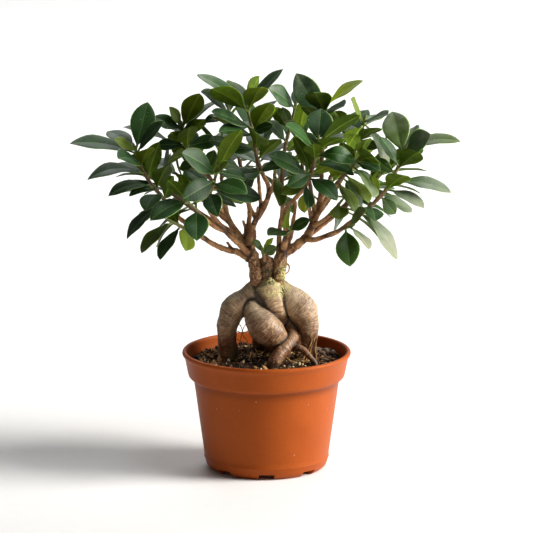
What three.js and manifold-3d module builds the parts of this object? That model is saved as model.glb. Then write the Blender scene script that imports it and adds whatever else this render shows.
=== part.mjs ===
// Ficus ginseng bonsai in its plastic nursery pot.
// Millimetres, +Z up. Pieces: the pot, the soil, the grown wood in one piece (roots, trunk, stumps
// and bare branches) and one piece for each leafy shoot (its green twig with its leaves).
// Shapes are worked out about the pot's axis, and the group is centred on its own box at the end.
import * as THREE from "three";
import { mergeVertices } from "three/addons/utils/BufferGeometryUtils.js";
import Module from "manifold-3d";

// Driving dimensions
const potHeight = 85;
const rimRadius = 60;
const floorThickness = 1.8;
const footHeight = 4;
const footInnerRadius = 36;
const potSegments = 32;
const notchCount = 8;
const notchWidth = 10;
const drainHoleRadius = 3.5;
const drainHoleCount = 4;
const drainHoleCircle = 24;
const pieceGap = 0.35;
const soilTop = 79;
const soilSlope = 3.5;
const bladeThickness = 1.3;
const petioleShare = 0.12;
const petioleWidth = 1.9;
const bladeFold = 0.16;
const matureWidthRatio = 0.46;
const widestBlade = 20;
const shortLeaf = 24;
const mostDepth = 37;
const goldenAngle = Math.PI * (3 - Math.sqrt(5));

// The plant is laid out as it is seen from the front, from a little above: a listed height is the
// height at which a point shows against the axis plane, so what stands behind it shows higher.
const viewTilt = 0.225;
const towardViewer = new THREE.Vector3(0, -1, viewTilt).normalize();

const wasm = await Module();
wasm.setup();

// Seeded draws, so that every run grows the same plant.
let seed = 20117;
function draw(low, high) {
  seed = (seed * 16807) % 2147483647;
  return low + ((high - low) * seed) / 2147483647;
}

// A seen place (across, seen height, depth) in the part's own axes.
function seen(x, height, depth) {
  return new THREE.Vector3(x, depth, height - viewTilt * depth);
}

// Rings of equally many points become one closed skin. An end is a point or a flat cap.
function skin(rings, startPoint, endPoint) {
  const points = rings.flat();
  const sides = rings[0].length;
  const faces = [];
  for (let i = 0; i + 1 < rings.length; i++) {
    for (let k = 0; k < sides; k++) {
      const a = i * sides + k;
      const b = i * sides + ((k + 1) % sides);
      faces.push(a, b, b + sides, a, b + sides, a + sides);
    }
  }
  const last = (rings.length - 1) * sides;
  const closeEnd = (first, apex, flip) => {
    const fan = apex ? sides : sides - 2;
    if (apex) points.push(apex);
    for (let k = 0; k < fan; k++) {
      const centre = apex ? points.length - 1 : first;
      const a = first + (apex ? k : k + 1);
      const b = first + (apex ? (k + 1) % sides : k + 2);
      faces.push(centre, ...(flip ? [b, a] : [a, b]));
    }
  };
  closeEnd(0, startPoint, true);
  closeEnd(last, endPoint, false);
  const geometry = new THREE.BufferGeometry();
  const flat = points.flatMap((p) => [p.x, p.y, p.z]);
  geometry.setAttribute("position", new THREE.BufferAttribute(new Float32Array(flat), 3));
  geometry.setIndex(faces);
  return geometry;
}

// Solids for joining and cutting, and back to a geometry
function solid(geometry) {
  const bare = geometry.clone();
  bare.deleteAttribute("normal");
  bare.deleteAttribute("uv");
  const merged = mergeVertices(bare, 1e-4);
  const vertProperties = new Float32Array(merged.attributes.position.array);
  const triVerts = new Uint32Array(merged.index.array);
  return new wasm.Manifold(new wasm.Mesh({ numProp: 3, vertProperties, triVerts }));
}

function joined(solids) {
  return solids.reduce((sum, next) => sum.add(next));
}

function geometryOf(body) {
  const mesh = body.getMesh();
  const geometry = new THREE.BufferGeometry();
  geometry.setAttribute("position", new THREE.BufferAttribute(mesh.vertProperties, 3));
  geometry.setIndex(new THREE.BufferAttribute(mesh.triVerts, 1));
  const faceted = geometry.toNonIndexed();
  faceted.computeVertexNormals();
  return faceted;
}

// A route is a smooth curve through its points: each is { point, radius }.
function routeOf(rows) {
  return rows.map(([x, height, depth, radius]) => ({ point: seen(x, height, depth), radius }));
}

// Place on a route at a running number: 2.5 is halfway from its point 2 to its point 3.
function placeOn(route, at) {
  const last = route.length - 1;
  const i = Math.min(Math.floor(at), last - 1);
  const t = at - i;
  const a = route[Math.max(i - 1, 0)].point;
  const b = route[i].point;
  const c = route[i + 1].point;
  const d = route[Math.min(i + 2, last)].point;
  const blend = (wa, wb, wc, wd) =>
    new THREE.Vector3()
      .addScaledVector(a, wa)
      .addScaledVector(b, wb)
      .addScaledVector(c, wc)
      .addScaledVector(d, wd);
  const t2 = t * t;
  const t3 = t2 * t;
  const point = blend(
    (-t + 2 * t2 - t3) / 2,
    (2 - 5 * t2 + 3 * t3) / 2,
    (t + 4 * t2 - 3 * t3) / 2,
    (-t2 + t3) / 2,
  );
  const tangent = blend(
    (-1 + 4 * t - 3 * t2) / 2,
    (-10 * t + 9 * t2) / 2,
    (1 + 8 * t - 9 * t2) / 2,
    (-2 * t + 3 * t2) / 2,
  ).normalize();
  const radius = route[i].radius + (route[i + 1].radius - route[i].radius) * t;
  return { point, tangent, radius };
}

function placesAlong(route, from, to, perSpan) {
  const count = Math.round((to - from) * perSpan);
  return Array.from({ length: count + 1 }, (_, k) => placeOn(route, from + k / perSpan));
}

// A round stem through places, with its rings square to the route and no twist between them.
const levelTangent = 0.8;
function stemGeometry(places, sides, grow = 0) {
  const swell = 1 / Math.cos(Math.PI / sides / 2);
  let across = new THREE.Vector3(1, 0, 0);
  if (Math.abs(places[0].tangent.x) > levelTangent) across.set(0, 1, 0);
  const rings = places.map(({ point, tangent, radius }) => {
    across = across.clone().addScaledVector(tangent, -across.dot(tangent)).normalize();
    const up = new THREE.Vector3().crossVectors(tangent, across);
    const reach = (radius + grow) * swell;
    return Array.from({ length: sides }, (_, k) => {
      const angle = (k / sides) * 2 * Math.PI;
      return point
        .clone()
        .addScaledVector(across, Math.cos(angle) * reach)
        .addScaledVector(up, Math.sin(angle) * reach);
    });
  });
  return skin(rings);
}

// Roots, from the trunk down into the soil: across, seen height, depth, radius
const roots = [
  [[-4, 130, 0, 9], [-12, 122, 0, 9.3], [-22, 116, -1, 9.4], [-26.5, 108, -2, 8.2],
    [-28.3, 100, -2, 6.8], [-28, 92, -1, 6.3], [-27, 85, 0, 6.8], [-26, 77, 1, 6.6],
    [-25, 57, 3, 2.6]],
  [[5, 131, 0, 9], [12, 124, 0, 9.6], [21, 119, -1, 10.8], [26.5, 112, -2, 10.3],
    [29.5, 104, -3, 7.9], [30, 97, -3, 6.2], [28.6, 90, -3, 4], [28.2, 82, -4, 2.9],
    [28.6, 62, -4, 1.7]],
  [[29.8, 98, -3, 5], [31.6, 91, -2, 3.1], [32.6, 82, -1, 2.7], [33.4, 62, 0, 1.6]],
  [[1, 132, -2, 11], [2, 128, -3, 11], [5, 120, -5, 9], [8, 112, -4, 7.2], [10, 105, 1, 5],
    [8, 96, 8, 5.2], [5, 88, 14, 5.2], [3, 80, 19, 4.8], [1, 60, 23, 2.4]],
  [[-8, 125, 0, 6], [-9.6, 119, -5, 6], [-8.6, 113, -9, 7.6], [-5.4, 107, -12, 10.2],
    [-1, 101.6, -13.5, 11.4], [4, 97.4, -13.5, 10.2], [8.4, 93.4, -10.5, 7.4],
    [11.6, 87.6, -7, 4.8], [13, 80, -4, 3.9], [14, 60, -3, 2.2]],
  [[10, 112, 3, 5], [15, 106, 1, 4.6], [18, 99, -4, 4.6], [17.6, 93, -11, 4.9],
    [13.5, 87.5, -18, 4.5], [9, 82.5, -22, 4.7], [5.6, 76.5, -25, 4.9], [4, 70, -26, 4.2],
    [0.5, 54, -26, 1.8]],
  [[5, 74, -25.5, 3.6], [8, 68, -26, 2.6], [9.5, 60, -26, 1.6]],
  [[17, 91, -12, 3], [20, 88, -14, 2.8], [24, 86.5, -16, 2.5], [28, 83.5, -17.5, 2.2],
    [32, 79, -18.5, 1.9], [35, 74.5, -19, 1.7], [37, 63, -19, 1]],
  [[-3, 126, 6, 9.5], [-4, 117, 13, 8.8], [-4, 107, 19, 7.2], [-4.6, 97, 23, 5.6],
    [-5.4, 88, 25, 4.9], [-6, 78, 27, 4.4], [-6.4, 58, 28, 2]],
  [[6, 127, 6, 9], [13, 119, 12, 8.6], [19, 110, 17, 7.4], [21.5, 100, 21, 6], [21, 91, 24, 5],
    [19.5, 82, 26, 4.5], [18, 61, 28, 2]],
];

// Trunk neck, cut stub, knob and the two stumps that carry the grafted branches
const trunk = [
  [[0, 118, 1, 12.5], [0.5, 126, 0.5, 12.6], [1, 133, 0, 10.4], [0.8, 139.5, 0, 5.5]],
  [[0, 134, -2, 5], [0.4, 141, -2.4, 4.7], [0.3, 152.2, -2.6, 4.3]],
  [[1, 133, -5, 4], [2.4, 137, -9.5, 3]],
  [[-7, 131, 0, 3.4], [-7.6, 136.5, -4.4, 4], [-7.8, 142.5, -4, 4.4], [-8.4, 148, -3, 4.4],
    [-9.8, 153, -1.5, 4.3], [-12, 158, 0, 3.4]],
  [[8.6, 131, 0, 3.4], [9, 136.5, -4.4, 3.8], [9.4, 143, -4, 4.1], [9.7, 149, -3, 4.3],
    [10.4, 154, -1, 4.3], [10.6, 158, 0.5, 3.8]],
  [[9.6, 151, 0, 4.3], [12.6, 156.6, 0, 3.7], [20, 160.5, 0, 3.1], [27.6, 167, 0, 2.8],
    [32, 174.5, 0.5, 2.6], [35.3, 183.5, 1.5, 2.1]],
  [[12.4, 149.5, -1, 0.6], [16, 146.6, -1.6, 0.6], [15.6, 142.5, -2, 0.5], [13.2, 140.4, -2, 0.5]],
];

// Bare branches that carry no leafy shoot of their own at their ends: snags and short dry twigs
const bareTwigs = [
  [[-24, 157.5, -4, 1.3], [-26, 161, -3, 0.9], [-28, 163.8, -2, 0.8]],
  [[-15.5, 165, 5, 1.4], [-15, 173, 5, 1], [-16.6, 179.4, 4, 0.8]],
  [[-8.6, 178, -2, 1.2], [-6.8, 184, -2, 0.9], [-6, 189.4, -2, 0.9]],
  [[-11, 156, -1, 1.5], [-8.6, 165, -4, 1], [-8, 172.4, -5, 0.8]],
  [[34.6, 182, 0, 1.3], [31, 186.4, -2, 0.9], [28.4, 189.4, -3, 0.8]],
  [[11, 156, 1, 2.2], [15, 163, 4, 1.9], [18, 172, 7, 1.7], [19.2, 180.4, 8, 1.4],
    [20.4, 187, 7, 0.9], [20.8, 193.4, 7, 0.8]],
];

// Leafy shoots that show from the front. A route starts inside the wood that bears it, and its
// leafy piece starts at the route's point number `leafy`. A leaf is: base across, base seen height,
// tip across, tip seen height, tip depth from the base, seen width (below zero where the underside
// shows) and, where it arches more than most, the height of its arch.
const shownShoots = [
  {
    name: "shoot_far_left",
    route: [[-10.5, 151, -1, 3.2], [-20, 156.5, -3, 2.3], [-29, 158.5, -5, 2],
      [-38, 162.5, -8, 1.8], [-46, 168, -10, 1.7], [-55, 176, -12, 1.6], [-63, 182.5, -12, 1.5],
      [-70, 191, -12, 1.4], [-75, 198, -10, 1.3], [-80, 204, -8, 1.2], [-86, 213, -4, 1.1],
      [-90, 222, 0, 1], [-92.5, 230, 2, 0.9]],
    leafy: 7,
    leaves: [[-92, 228, -139, 235, -10, 10, 4], [-92, 231, -113, 244.5, 26, 11],
      [-91.6, 230, -84, 265.4, 10, 18], [-92.5, 229, -107.8, 237.6, -12, 7],
      [-91, 228, -72, 250.7, -8, 8], [-89.6, 219, -104.4, 224, -26, 9],
      [-89, 218.6, -82.3, 231.7, -22, -10], [-84, 210, -75.7, 236.6, 18, -12],
      [-86.5, 212, -126.6, 208.8, -8, 9, 6.5], [-85, 211, -115, 219, 24, 8, 2.5],
      [-79.5, 203, -111.7, 196.7, -14, 8, 5.5], [-78, 201, -97, 197, -30, 6, 4],
      [-77.6, 201.6, -69.5, 218.6, -22, -12], [-72, 194, -66, 212, 24, -10],
      [-71, 192, -98.5, 166, -14, 8, 3], [-75, 198, -85, 186, -28, 12, 4]],
  },
  {
    name: "shoot_upper_left",
    route: [[-11.4, 154, 0, 2.8], [-15, 162, 3, 1.9], [-19, 169, 6, 1.7], [-24, 176, 10, 1.6],
      [-28, 184, 14, 1.7], [-31, 196, 18, 1.7], [-40, 210, 22, 1.5], [-49, 221, 22, 1.3],
      [-56, 231, 20, 1.2], [-59, 240, 18, 1], [-60, 247, 16, 0.9]],
    leafy: 5,
    leaves: [[-60, 246, -80.5, 254.3, -26, 10], [-59, 240, -82, 250.7, 22, 7, 4],
      [-59, 246, -47, 271.3, -14, -15], [-60, 247, -69, 262, -10, 7], [-58, 244, -35, 266.6, 18, 6],
      [-57, 231, -54, 247, -28, -14], [-58, 234, -68, 243, -28, -10], [-54, 228, -33, 239, 16, 8],
      [-58, 238, -44, 253, -20, -10], [-53, 227, -70, 222, -28, -8], [-41, 211, -30, 226, 26, -9],
      [-57, 234, -34, 238.5, 6, 11],
      [-53, 227, -68, 232.5, 14, -9], [-49, 221, -62, 218, 16, 8], [-57, 235, -79, 234, -2, 9],
      [-44, 214, -37, 231, 8, 9]],
  },
  {
    name: "shoot_front_left",
    route: [[-11.4, 154, -2, 2.8], [-18, 161, -6, 2], [-24, 166.5, -11, 1.8], [-30, 173, -16, 1.7],
      [-38, 183, -22, 1.7], [-41.5, 191, -27, 1.5], [-40, 198.5, -31, 1.3], [-37, 207, -34, 1.1],
      [-35, 214, -36, 0.9]],
    leafy: 5,
    leaves: [[-36, 212.5, -59.5, 228, -22, 14], [-37, 208, -59, 194.4, -24, 16, 4],
      [-35, 213.5, -17.5, 244.5, -4, -13], [-35, 214, -26.4, 220.4, -14, 5],
      [-37.6, 205.5, -13.4, 198.5, -24, 12, 4], [-38.5, 202, -3.7, 195.5, 8, 13, 1],
      [-40, 198.4, -34.1, 181.9, -27, 14, 5], [-39, 201, -58, 216, 22, 9],
      [-41, 194.5, -22, 190.5, 26, 8], [-41.4, 195.5, -51, 197, -8, 4],
      [-35, 214, -14, 209, 4, 9]],
  },
  {
    name: "shoot_low_left",
    route: [[-43, 165.4, -9, 1.5], [-48, 169, -15, 1.4], [-55, 172.6, -23, 1.3],
      [-61, 175.5, -29, 1.1], [-67, 178.6, -33, 0.9]],
    leafy: 1,
    leaves: [[-66, 178.2, -88, 155.8, -16, 9, 3], [-65, 177.5, -77, 161.4, 24, 5],
      [-60, 175, -74.9, 151, -22, 9], [-58, 173.6, -57, 157.4, -30, 11], [-62, 176, -71, 192, 18, -9]],
  },
  {
    name: "shoot_left_inner",
    route: [[-28, 171.4, -14, 1.6], [-36, 174.5, -22, 1.5], [-44, 181, -31, 1.4],
      [-50, 187.5, -37, 1.2], [-56, 193, -41, 0.9]],
    leafy: 2,
    leaves: [[-55, 192, -81.4, 179, -22, 13, 5], [-49, 186.5, -49, 164.6, -22, 18, 4],
      [-56, 193, -69, 208, -24, -10], [-56, 193, -61, 213, 20, -9]],
  },
  {
    name: "shoot_top_left",
    route: [[-11.2, 153, 0, 3.4], [-12.6, 163, 1, 2.5], [-11, 171, 1, 2.1], [-8.4, 178, 0, 1.9],
      [-5.2, 183, -1, 1.9], [-1, 190.5, -2, 1.8], [1.6, 199, -3, 1.7], [1, 205.5, -4, 1.6],
      [-2.4, 212.5, -4, 1.5], [-6, 222, -4, 1.4], [-8, 231, -3, 1.3], [-9.5, 243, -2, 1.1],
      [-12, 254, 0, 1], [-13.5, 261, 2, 0.9]],
    leafy: 8,
    leaves: [[-13, 260, -49.3, 285, 6, 9], [-13.5, 261, -27, 281.5, 30, 9],
      [-13, 260, -5, 284.5, 27, -8], [-13, 259, -3.4, 275.2, -30, -15],
      [-12.4, 258, 12, 289.2, -4, 8], [-13, 258.3, -38.9, 274.3, -22, -14],
      [-11.6, 252, 7.8, 266.5, 26, 6], [-9.7, 243, 2.8, 263.7, -24, -14], [-9, 240, 8, 261, 14, -7],
      [-10, 246, -38.9, 257.8, -18, 8, 1], [-9, 240, -33.7, 243, -24, 9, 3],
      [-8, 231, -8, 243, -36, -15], [-6, 223, 9.9, 238, -26, -9],
      [-3.4, 215, -22, 211, -28, 10, 0.5], [-3.4, 216, 12, 218, -26, 9, 3],
      [-5, 220, -24, 230, 24, 9], [-8, 231, -27, 231, -10, 9],
      [-9.5, 243, 5, 248, -12, 8], [-5, 219, -16, 202, 22, 10]],
  },
  {
    name: "shoot_centre_bud",
    route: [[0.4, 197, -3, 1.4], [4.4, 204, -8, 1.2], [5.6, 211, -12, 1.1], [6, 216, -14, 0.9]],
    leafy: 2,
    leaves: [[5.8, 212, 9, 189.5, -24, 9], [6, 215, 18, 229, -22, 8]],
  },
  {
    name: "shoot_top_back_left",
    route: [[-12.6, 164, 1.5, 2], [-13, 173, 5, 1.8], [-12, 184, 9, 1.6], [-13, 194, 12, 1.5],
      [-16, 209, 18, 1.4], [-20, 226, 26, 1.2], [-24.4, 244, 31, 1.1], [-26.5, 257, 33, 0.9]],
    leafy: 3,
    leaves: [[-26.5, 257, -46.5, 272.7, -22, 7], [-26, 253, -44.6, 250, -28, 6, 3],
      [-24.4, 243, -36, 254, -26, -9], [-26.5, 257, -21, 273, 24, 9], [-22, 234, -41, 238, 22, 9],
      [-19, 222, -3, 236, 24, -9], [-24, 242, -8, 252, 26, 8], [-18, 217, -35, 222, -10, 9]],
  },
  {
    name: "shoot_centre_back",
    route: [[9.8, 154, 0, 3], [9, 164, 3, 1.8], [9.4, 174, 6, 1.5], [11, 184, 8, 1.5],
      [11.4, 195, 11, 1.6], [11, 212, 17, 1.4], [13, 232, 23, 1.2], [17, 248, 27, 1.1],
      [20, 261, 29, 0.9]],
    leafy: 4,
    leaves: [[20, 261, 1.2, 275.5, -26, 12], [16.6, 247, 5, 262, -26, -10],
      [15, 240, 5, 258, 20, 7], [14, 236, 0.7, 251.6, -26, 8],
      [20, 261, 27, 278, 24, 10], [13, 230, 29, 240, 24, -9], [11.4, 219, -4, 228, 24, 9],
      [11, 210, 25, 217, 26, 8], [17, 248, 11, 262, 0, 8]],
  },
  {
    name: "shoot_front_centre",
    route: [[10.6, 155, 0, 3.2], [13.2, 164, -4, 2.1], [13.6, 173, -8, 1.8], [13, 182, -11, 1.8],
      [14.6, 188.6, -14, 1.7], [19.4, 194.4, -18, 1.5], [26.2, 202.5, -22, 1.4],
      [29.4, 208.6, -25, 1.3], [32.5, 217, -28, 1.2], [34.5, 226, -30, 1.1], [36, 235, -31, 0.9]],
    leafy: 6,
    leaves: [[36, 235, 38.3, 260, 12, 19], [36, 234.2, 66, 255, 12, -10],
      [35.4, 232, 11.6, 250.5, 18, -6], [34.8, 228, 13, 247.5, -22, 7],
      [34.2, 224, 32.5, 236, -37, -18], [31.5, 214, 19, 240, -14, -9], [35, 228, 53, 238, -28, -9],
      [34.4, 225, 62.7, 220.8, -22, 12, 10], [33, 219, 62, 212, 14, 9, 5],
      [31, 213, 51.6, 221.8, -26, -9], [30, 209.6, 49.7, 193.7, -22, 12, 4],
      [30.4, 211, 1, 226.5, -14, 12], [31.2, 213.5, 14.3, 204, -32, 11, 3],
      [27.6, 205, 10, 198, -14, 9], [27.4, 204.6, 29, 188, -26, 8]],
  },
  {
    name: "shoot_neck_sprout",
    route: [[-1, 148, -5, 1.3], [-2, 153.4, -8.6, 1.1], [-2.6, 156.6, -10.4, 0.9]],
    leafy: 1,
    leaves: [[-2.4, 155.4, 7, 160.4, -8, 8], [-2.6, 156.6, 5, 167, 2, -4],
      [-2.6, 156.6, -9.4, 165.6, -4, 5]],
  },
  {
    name: "shoot_stump_sprout",
    route: [[13.4, 166, -5, 1.3], [15.4, 169.6, -9, 1.1], [16.6, 172.6, -11, 0.9]],
    leafy: 1,
    leaves: [[16.4, 172, 31, 180, -10, 8.5], [16.6, 172.6, 17, 189, -4, -6],
      [15.6, 170, 1, 168.6, -14, 7]],
  },
  {
    name: "shoot_inner_right",
    route: [[34.8, 182, 0, 1.9], [33, 192, 2, 1.6], [31.6, 200, 4, 1.5], [30.6, 208, 7, 1.2],
      [29, 216, 10, 0.9]],
    leafy: 2,
    leaves: [[31, 204, 27, 185, 10, -10], [30, 211, 14, 219, 26, 9], [29, 216, 42, 229, 20, -9],
      [29.4, 214, 20, 234, -16, -8]],
  },
  {
    name: "shoot_top_right",
    route: [[35, 184, 2, 2], [38, 195, 8, 1.8], [39, 207, 13, 1.6], [39.5, 226, 18, 1.4],
      [40.5, 246, 20, 1.2], [41.6, 262, 20, 0.9]],
    leafy: 2,
    leaves: [[40.6, 251, 21, 286.5, 4, 19], [40.8, 255, 33.5, 272, -34, -18],
      [41.6, 262, 68.6, 281.2, 8, -7], [41.5, 258.5, 54.7, 262, -32, 8, 0],
      [41.6, 261, 47, 249, -34, 7, 3], [41, 254, 57, 257, -26, -6], [40.5, 247, 26, 262, -26, -9],
      [39.5, 230, 58, 243, 24, 9], [39.6, 232, 23, 243, 26, 9]],
  },
  {
    name: "shoot_mid_right",
    route: [[32, 174.5, 0, 2], [37.6, 186, -3, 1.6], [43, 196, -6, 1.4], [48, 204, -8, 1.3],
      [54.4, 211.6, -12, 1.3], [61, 218.4, -17, 1.1], [66, 225, -21, 0.9]],
    leafy: 3,
    leaves: [[64, 222, 76, 224, -34, -13], [66, 225, 71, 238, -30, -9],
      [63, 220.6, 80, 215, -26, 8], [61, 218, 74.6, 195.7, -24, 6], [60, 217, 79.7, 198.2, 22, 7],
      [55, 212, 71.7, 192, -28, 9], [54, 211, 67.8, 189, 16, 8], [50, 206.5, 62, 186, -26, 9],
      [56, 213.4, 43, 217, -30, -8], [60, 217.4, 53, 236, -18, -9]],
  },
  {
    name: "shoot_lower_right",
    route: [[33.6, 176, -3, 1.7], [40, 179.4, -11, 1.4], [45, 184, -18, 1.2], [49, 188.6, -23, 1.1],
      [52.4, 193, -27, 0.9]],
    leafy: 2,
    leaves: [[51, 191.4, 51.6, 180, -35, 14], [48.6, 188, 49.6, 174, 22, 8]],
  },
  {
    name: "shoot_low_right",
    route: [[43, 168.8, -17, 1.5], [50, 171.6, -26, 1.3], [54.5, 173.6, -32, 1.1],
      [58.4, 175, -36, 0.9]],
    leafy: 1,
    leaves: [[55.5, 174, 58.6, 146, -20, 17.5, 3], [58, 174.6, 71.8, 158.6, -26, 6],
      [58.4, 175, 70, 187, -20, 7]],
  },
  {
    name: "shoot_right",
    route: [[36, 183.4, 0, 1.7], [45, 196, 6, 1.5], [53, 209, 10, 1.4], [60, 223, 13, 1.3],
      [65.4, 238, 13, 1.2], [69, 251, 12, 0.9]],
    leafy: 2,
    leaves: [[69, 250, 59.5, 267, -24, 5, 0], [69, 251, 85.8, 256, -28, 5, 0.5],
      [68.4, 249, 57.5, 233, -28, -14], [68.8, 250, 84, 214, -10, 8, 5],
      [64.6, 236, 80, 246, -26, -8], [65.4, 238, 50, 250, 24, 8], [68, 247, 82, 256, 26, 8],
      [60, 223, 76, 231, 26, -9], [57, 217, 44, 226, 27, 9], [65.4, 238, 79, 232, -16, 8]],
  },
  {
    name: "shoot_far_right",
    route: [[27.6, 166, -1, 2.2], [33.6, 165.4, -8, 1.8], [41, 167.8, -15, 1.7],
      [49.6, 171, -20, 1.6], [57.8, 177, -22, 1.5], [66, 183.4, -22, 1.5], [74, 190.4, -21, 1.4],
      [81.5, 198.2, -18, 1.3], [87.5, 206, -14, 1.2], [93, 218, -9, 1.1], [98, 230, -5, 0.9]],
    leafy: 5,
    leaves: [[96, 226, 89.2, 258.8, 16, 20], [98, 229.5, 115.6, 240.8, -28, 15],
      [98, 230, 137, 236.4, -6, 8, 4.5], [92, 216, 107, 228.4, -28, -15],
      [84, 201.4, 97.7, 211.5, -30, -13], [88, 207, 130.3, 199.5, -8, 9, 3.5],
      [84.5, 202, 111, 188.2, -18, 8, 2.5], [79, 196, 103.5, 187.5, 24, 9, 0],
      [73, 189.6, 76, 179, -32, 13], [69, 186, 92.3, 151, -4, 10, 1.5], [91, 213, 76, 224, 24, 9],
      [97, 227, 107, 249, 27, 9], [78, 195, 74, 212, 26, -9], [93, 218, 80, 240, 20, 8],
      [80, 197.4, 91, 184, 10, 10]],
  },
];

// Boughs behind the trunk, in the part's own axes: x, y, z, radius
const backBoughs = [
  [[-9, 3, 150, 2.6], [-17, 16, 159.4, 1.7], [-24.5, 30, 167.4, 1.5], [-30, 41, 176, 1.4]],
  [[-9, 5, 151, 2.4], [-10.4, 20, 161, 1.8], [-8.4, 34, 170.4, 1.6], [-4, 46, 180, 1.4]],
  [[10, 3, 151, 2.6], [19.6, 15, 156.8, 1.9], [27, 28, 161.4, 1.6], [32.6, 40, 169.4, 1.4]],
];

// Shoots behind the trunk: the bough that bears it, the place on it, the shoot's tip, its leaves
const hiddenShoots = [
  [0, 1.6, [-74, 34, 197], 6],
  [0, 2.3, [-62, 50, 200], 6],
  [0, 3, [-34, 51, 223], 6],
  [0, 2.7, [-64, 36, 225], 6],
  [1, 2.2, [-25, 62, 205], 6],
  [1, 3, [-8, 55, 228], 6],
  [1, 2.6, [12, 66, 201], 6],
  [2, 2.9, [23, 53, 226], 6],
  [2, 2.4, [47, 59, 199], 6],
  [2, 3, [53, 45, 222], 6],
  [2, 1.7, [76, 47, 200], 6],
  [2, 1.2, [84, 24, 210], 6],
  [0, 1.2, [-82, 18, 207], 5],
];
const hiddenWoodShare = 0.45;
const hiddenSteps = 5;
const hiddenSag = 0.1;
const thickestHiddenFoot = 1.7;
const hiddenTipRadius = 0.9;
const shortestHiddenLeaf = 33;
const longestHiddenLeaf = 42;
const firstLeafStep = 0.7;
const lowestSpread = 1.25;
const spreadRange = 0.7;

// A hidden shoot sags between its foot on the bough and its tip.
function routeBehind(boughRoute, at, tip) {
  const foot = placeOn(boughRoute, at);
  const end = new THREE.Vector3(...tip);
  const way = end.clone().sub(foot.point);
  const sag = way.length() * hiddenSag;
  const footRadius = Math.min(foot.radius, thickestHiddenFoot);
  return Array.from({ length: hiddenSteps + 1 }, (_, k) => {
    const share = k / hiddenSteps;
    const point = foot.point.clone().addScaledVector(way, share);
    point.z += sag * (share * share - share);
    return { point, radius: footRadius * (1 - share) + hiddenTipRadius * share };
  });
}

// Blade outline: its width from the petiole (0) to the tip (1), as a share of the widest place
const outlineShift = 1.15;
const outlineBluntness = 0.75;
function bladeWidth(share) {
  return Math.sin(Math.PI * Math.pow(share, outlineShift)) ** outlineBluntness;
}

// A leaf: its root on the twig, its tip, the way its upper face looks, its width and its arch
function leafFrame(leaf) {
  const chord = leaf.tip.clone().sub(leaf.root);
  const forward = chord.clone().normalize();
  const side = new THREE.Vector3().crossVectors(forward, leaf.face).normalize();
  const at = (share) =>
    leaf.root
      .clone()
      .addScaledVector(chord, share)
      .addScaledVector(leaf.face, leaf.arch * 4 * share * (1 - share));
  const edge = (share, across) => {
    const half = (leaf.width / 2) * bladeWidth((share - petioleShare) / (1 - petioleShare));
    return at(share)
      .addScaledVector(side, half * across)
      .addScaledVector(leaf.face, half * bladeFold * Math.abs(across));
  };
  return { at, edge, side };
}

// The leaf as a solid: a lens section at each station, from a spike sunk in the twig to the tip
const leafStations = [petioleShare, 0.4, 0.78];
const shortLeafStations = [petioleShare, 0.52];
function leafGeometry(leaf) {
  const { at, edge, side } = leafFrame(leaf);
  const half = bladeThickness / 2;
  const short = leaf.tip.distanceTo(leaf.root) < shortLeaf;
  const stations = short ? shortLeafStations : leafStations;
  const rings = stations.map((share, k) => {
    const middle = at(share);
    const left = k ? edge(share, -1) : middle.clone().addScaledVector(side, -petioleWidth / 2);
    const right = k ? edge(share, 1) : middle.clone().addScaledVector(side, petioleWidth / 2);
    const top = middle.clone().addScaledVector(leaf.face, half);
    const bottom = middle.clone().addScaledVector(leaf.face, -half);
    return [left, top, right, bottom];
  });
  const sunk = leaf.root.clone().sub(at(petioleShare)).normalize();
  return skin(rings, leaf.root.clone().addScaledVector(sunk, leaf.sink), leaf.tip);
}

// Points over the blade for the clearance test
const testRows = 13;
const testColumns = 3;
function bladePoints(leaf) {
  const { edge } = leafFrame(leaf);
  const points = [];
  for (let i = 0; i <= testRows; i++) {
    const share = petioleShare + ((1 - petioleShare) * i) / testRows;
    for (let k = -testColumns; k <= testColumns; k++) {
      const place = edge(share, k / testColumns);
      points.push({ place, share });
    }
  }
  return points;
}

// How far a leaf arches and how deep it is set into its twig
const listedArch = 0.06;
const ruledArch = 0.08;
const leafSink = 0.6;

// A listed leaf at one try: only its depth changes, so that it stays where it is seen.
function listedLeaf(shoot, row, bend, size) {
  const [baseX, baseHeight, tipX, tipHeight, depth, seenWidth, arch] = row;
  let root = null;
  let nearest = Infinity;
  for (const place of shoot.leafyPlaces) {
    const dx = place.point.x - baseX;
    const dz = place.point.z + viewTilt * place.point.y - baseHeight;
    const apart = dx * dx + dz * dz;
    if (apart < nearest) {
      nearest = apart;
      root = place;
    }
  }
  const from = root.point;
  const reach = Math.min(Math.max(depth + bend, -mostDepth), mostDepth);
  const full = seen(tipX, tipHeight, from.y + reach);
  const tip = from.clone().lerp(full, size);
  const forward = tip.clone().sub(from);
  const length = forward.length();
  forward.normalize();
  const sink = root.radius * leafSink;
  const width = Math.min(Math.max(length * matureWidthRatio, Math.abs(seenWidth) * size), widestBlade);
  const open = towardViewer.clone().addScaledVector(forward, -towardViewer.dot(forward)).normalize();
  const edgeOn = new THREE.Vector3().crossVectors(forward, open);
  if (edgeOn.z < 0) edgeOn.negate();
  const facing = Math.min(Math.abs(seenWidth) / width, 1);
  const face = open
    .multiplyScalar(Math.sign(seenWidth) * facing)
    .addScaledVector(edgeOn, Math.sqrt(1 - facing * facing))
    .normalize();
  return { root: from, tip, face, width, arch: (arch ?? length * listedArch) * size, sink };
}

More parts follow.
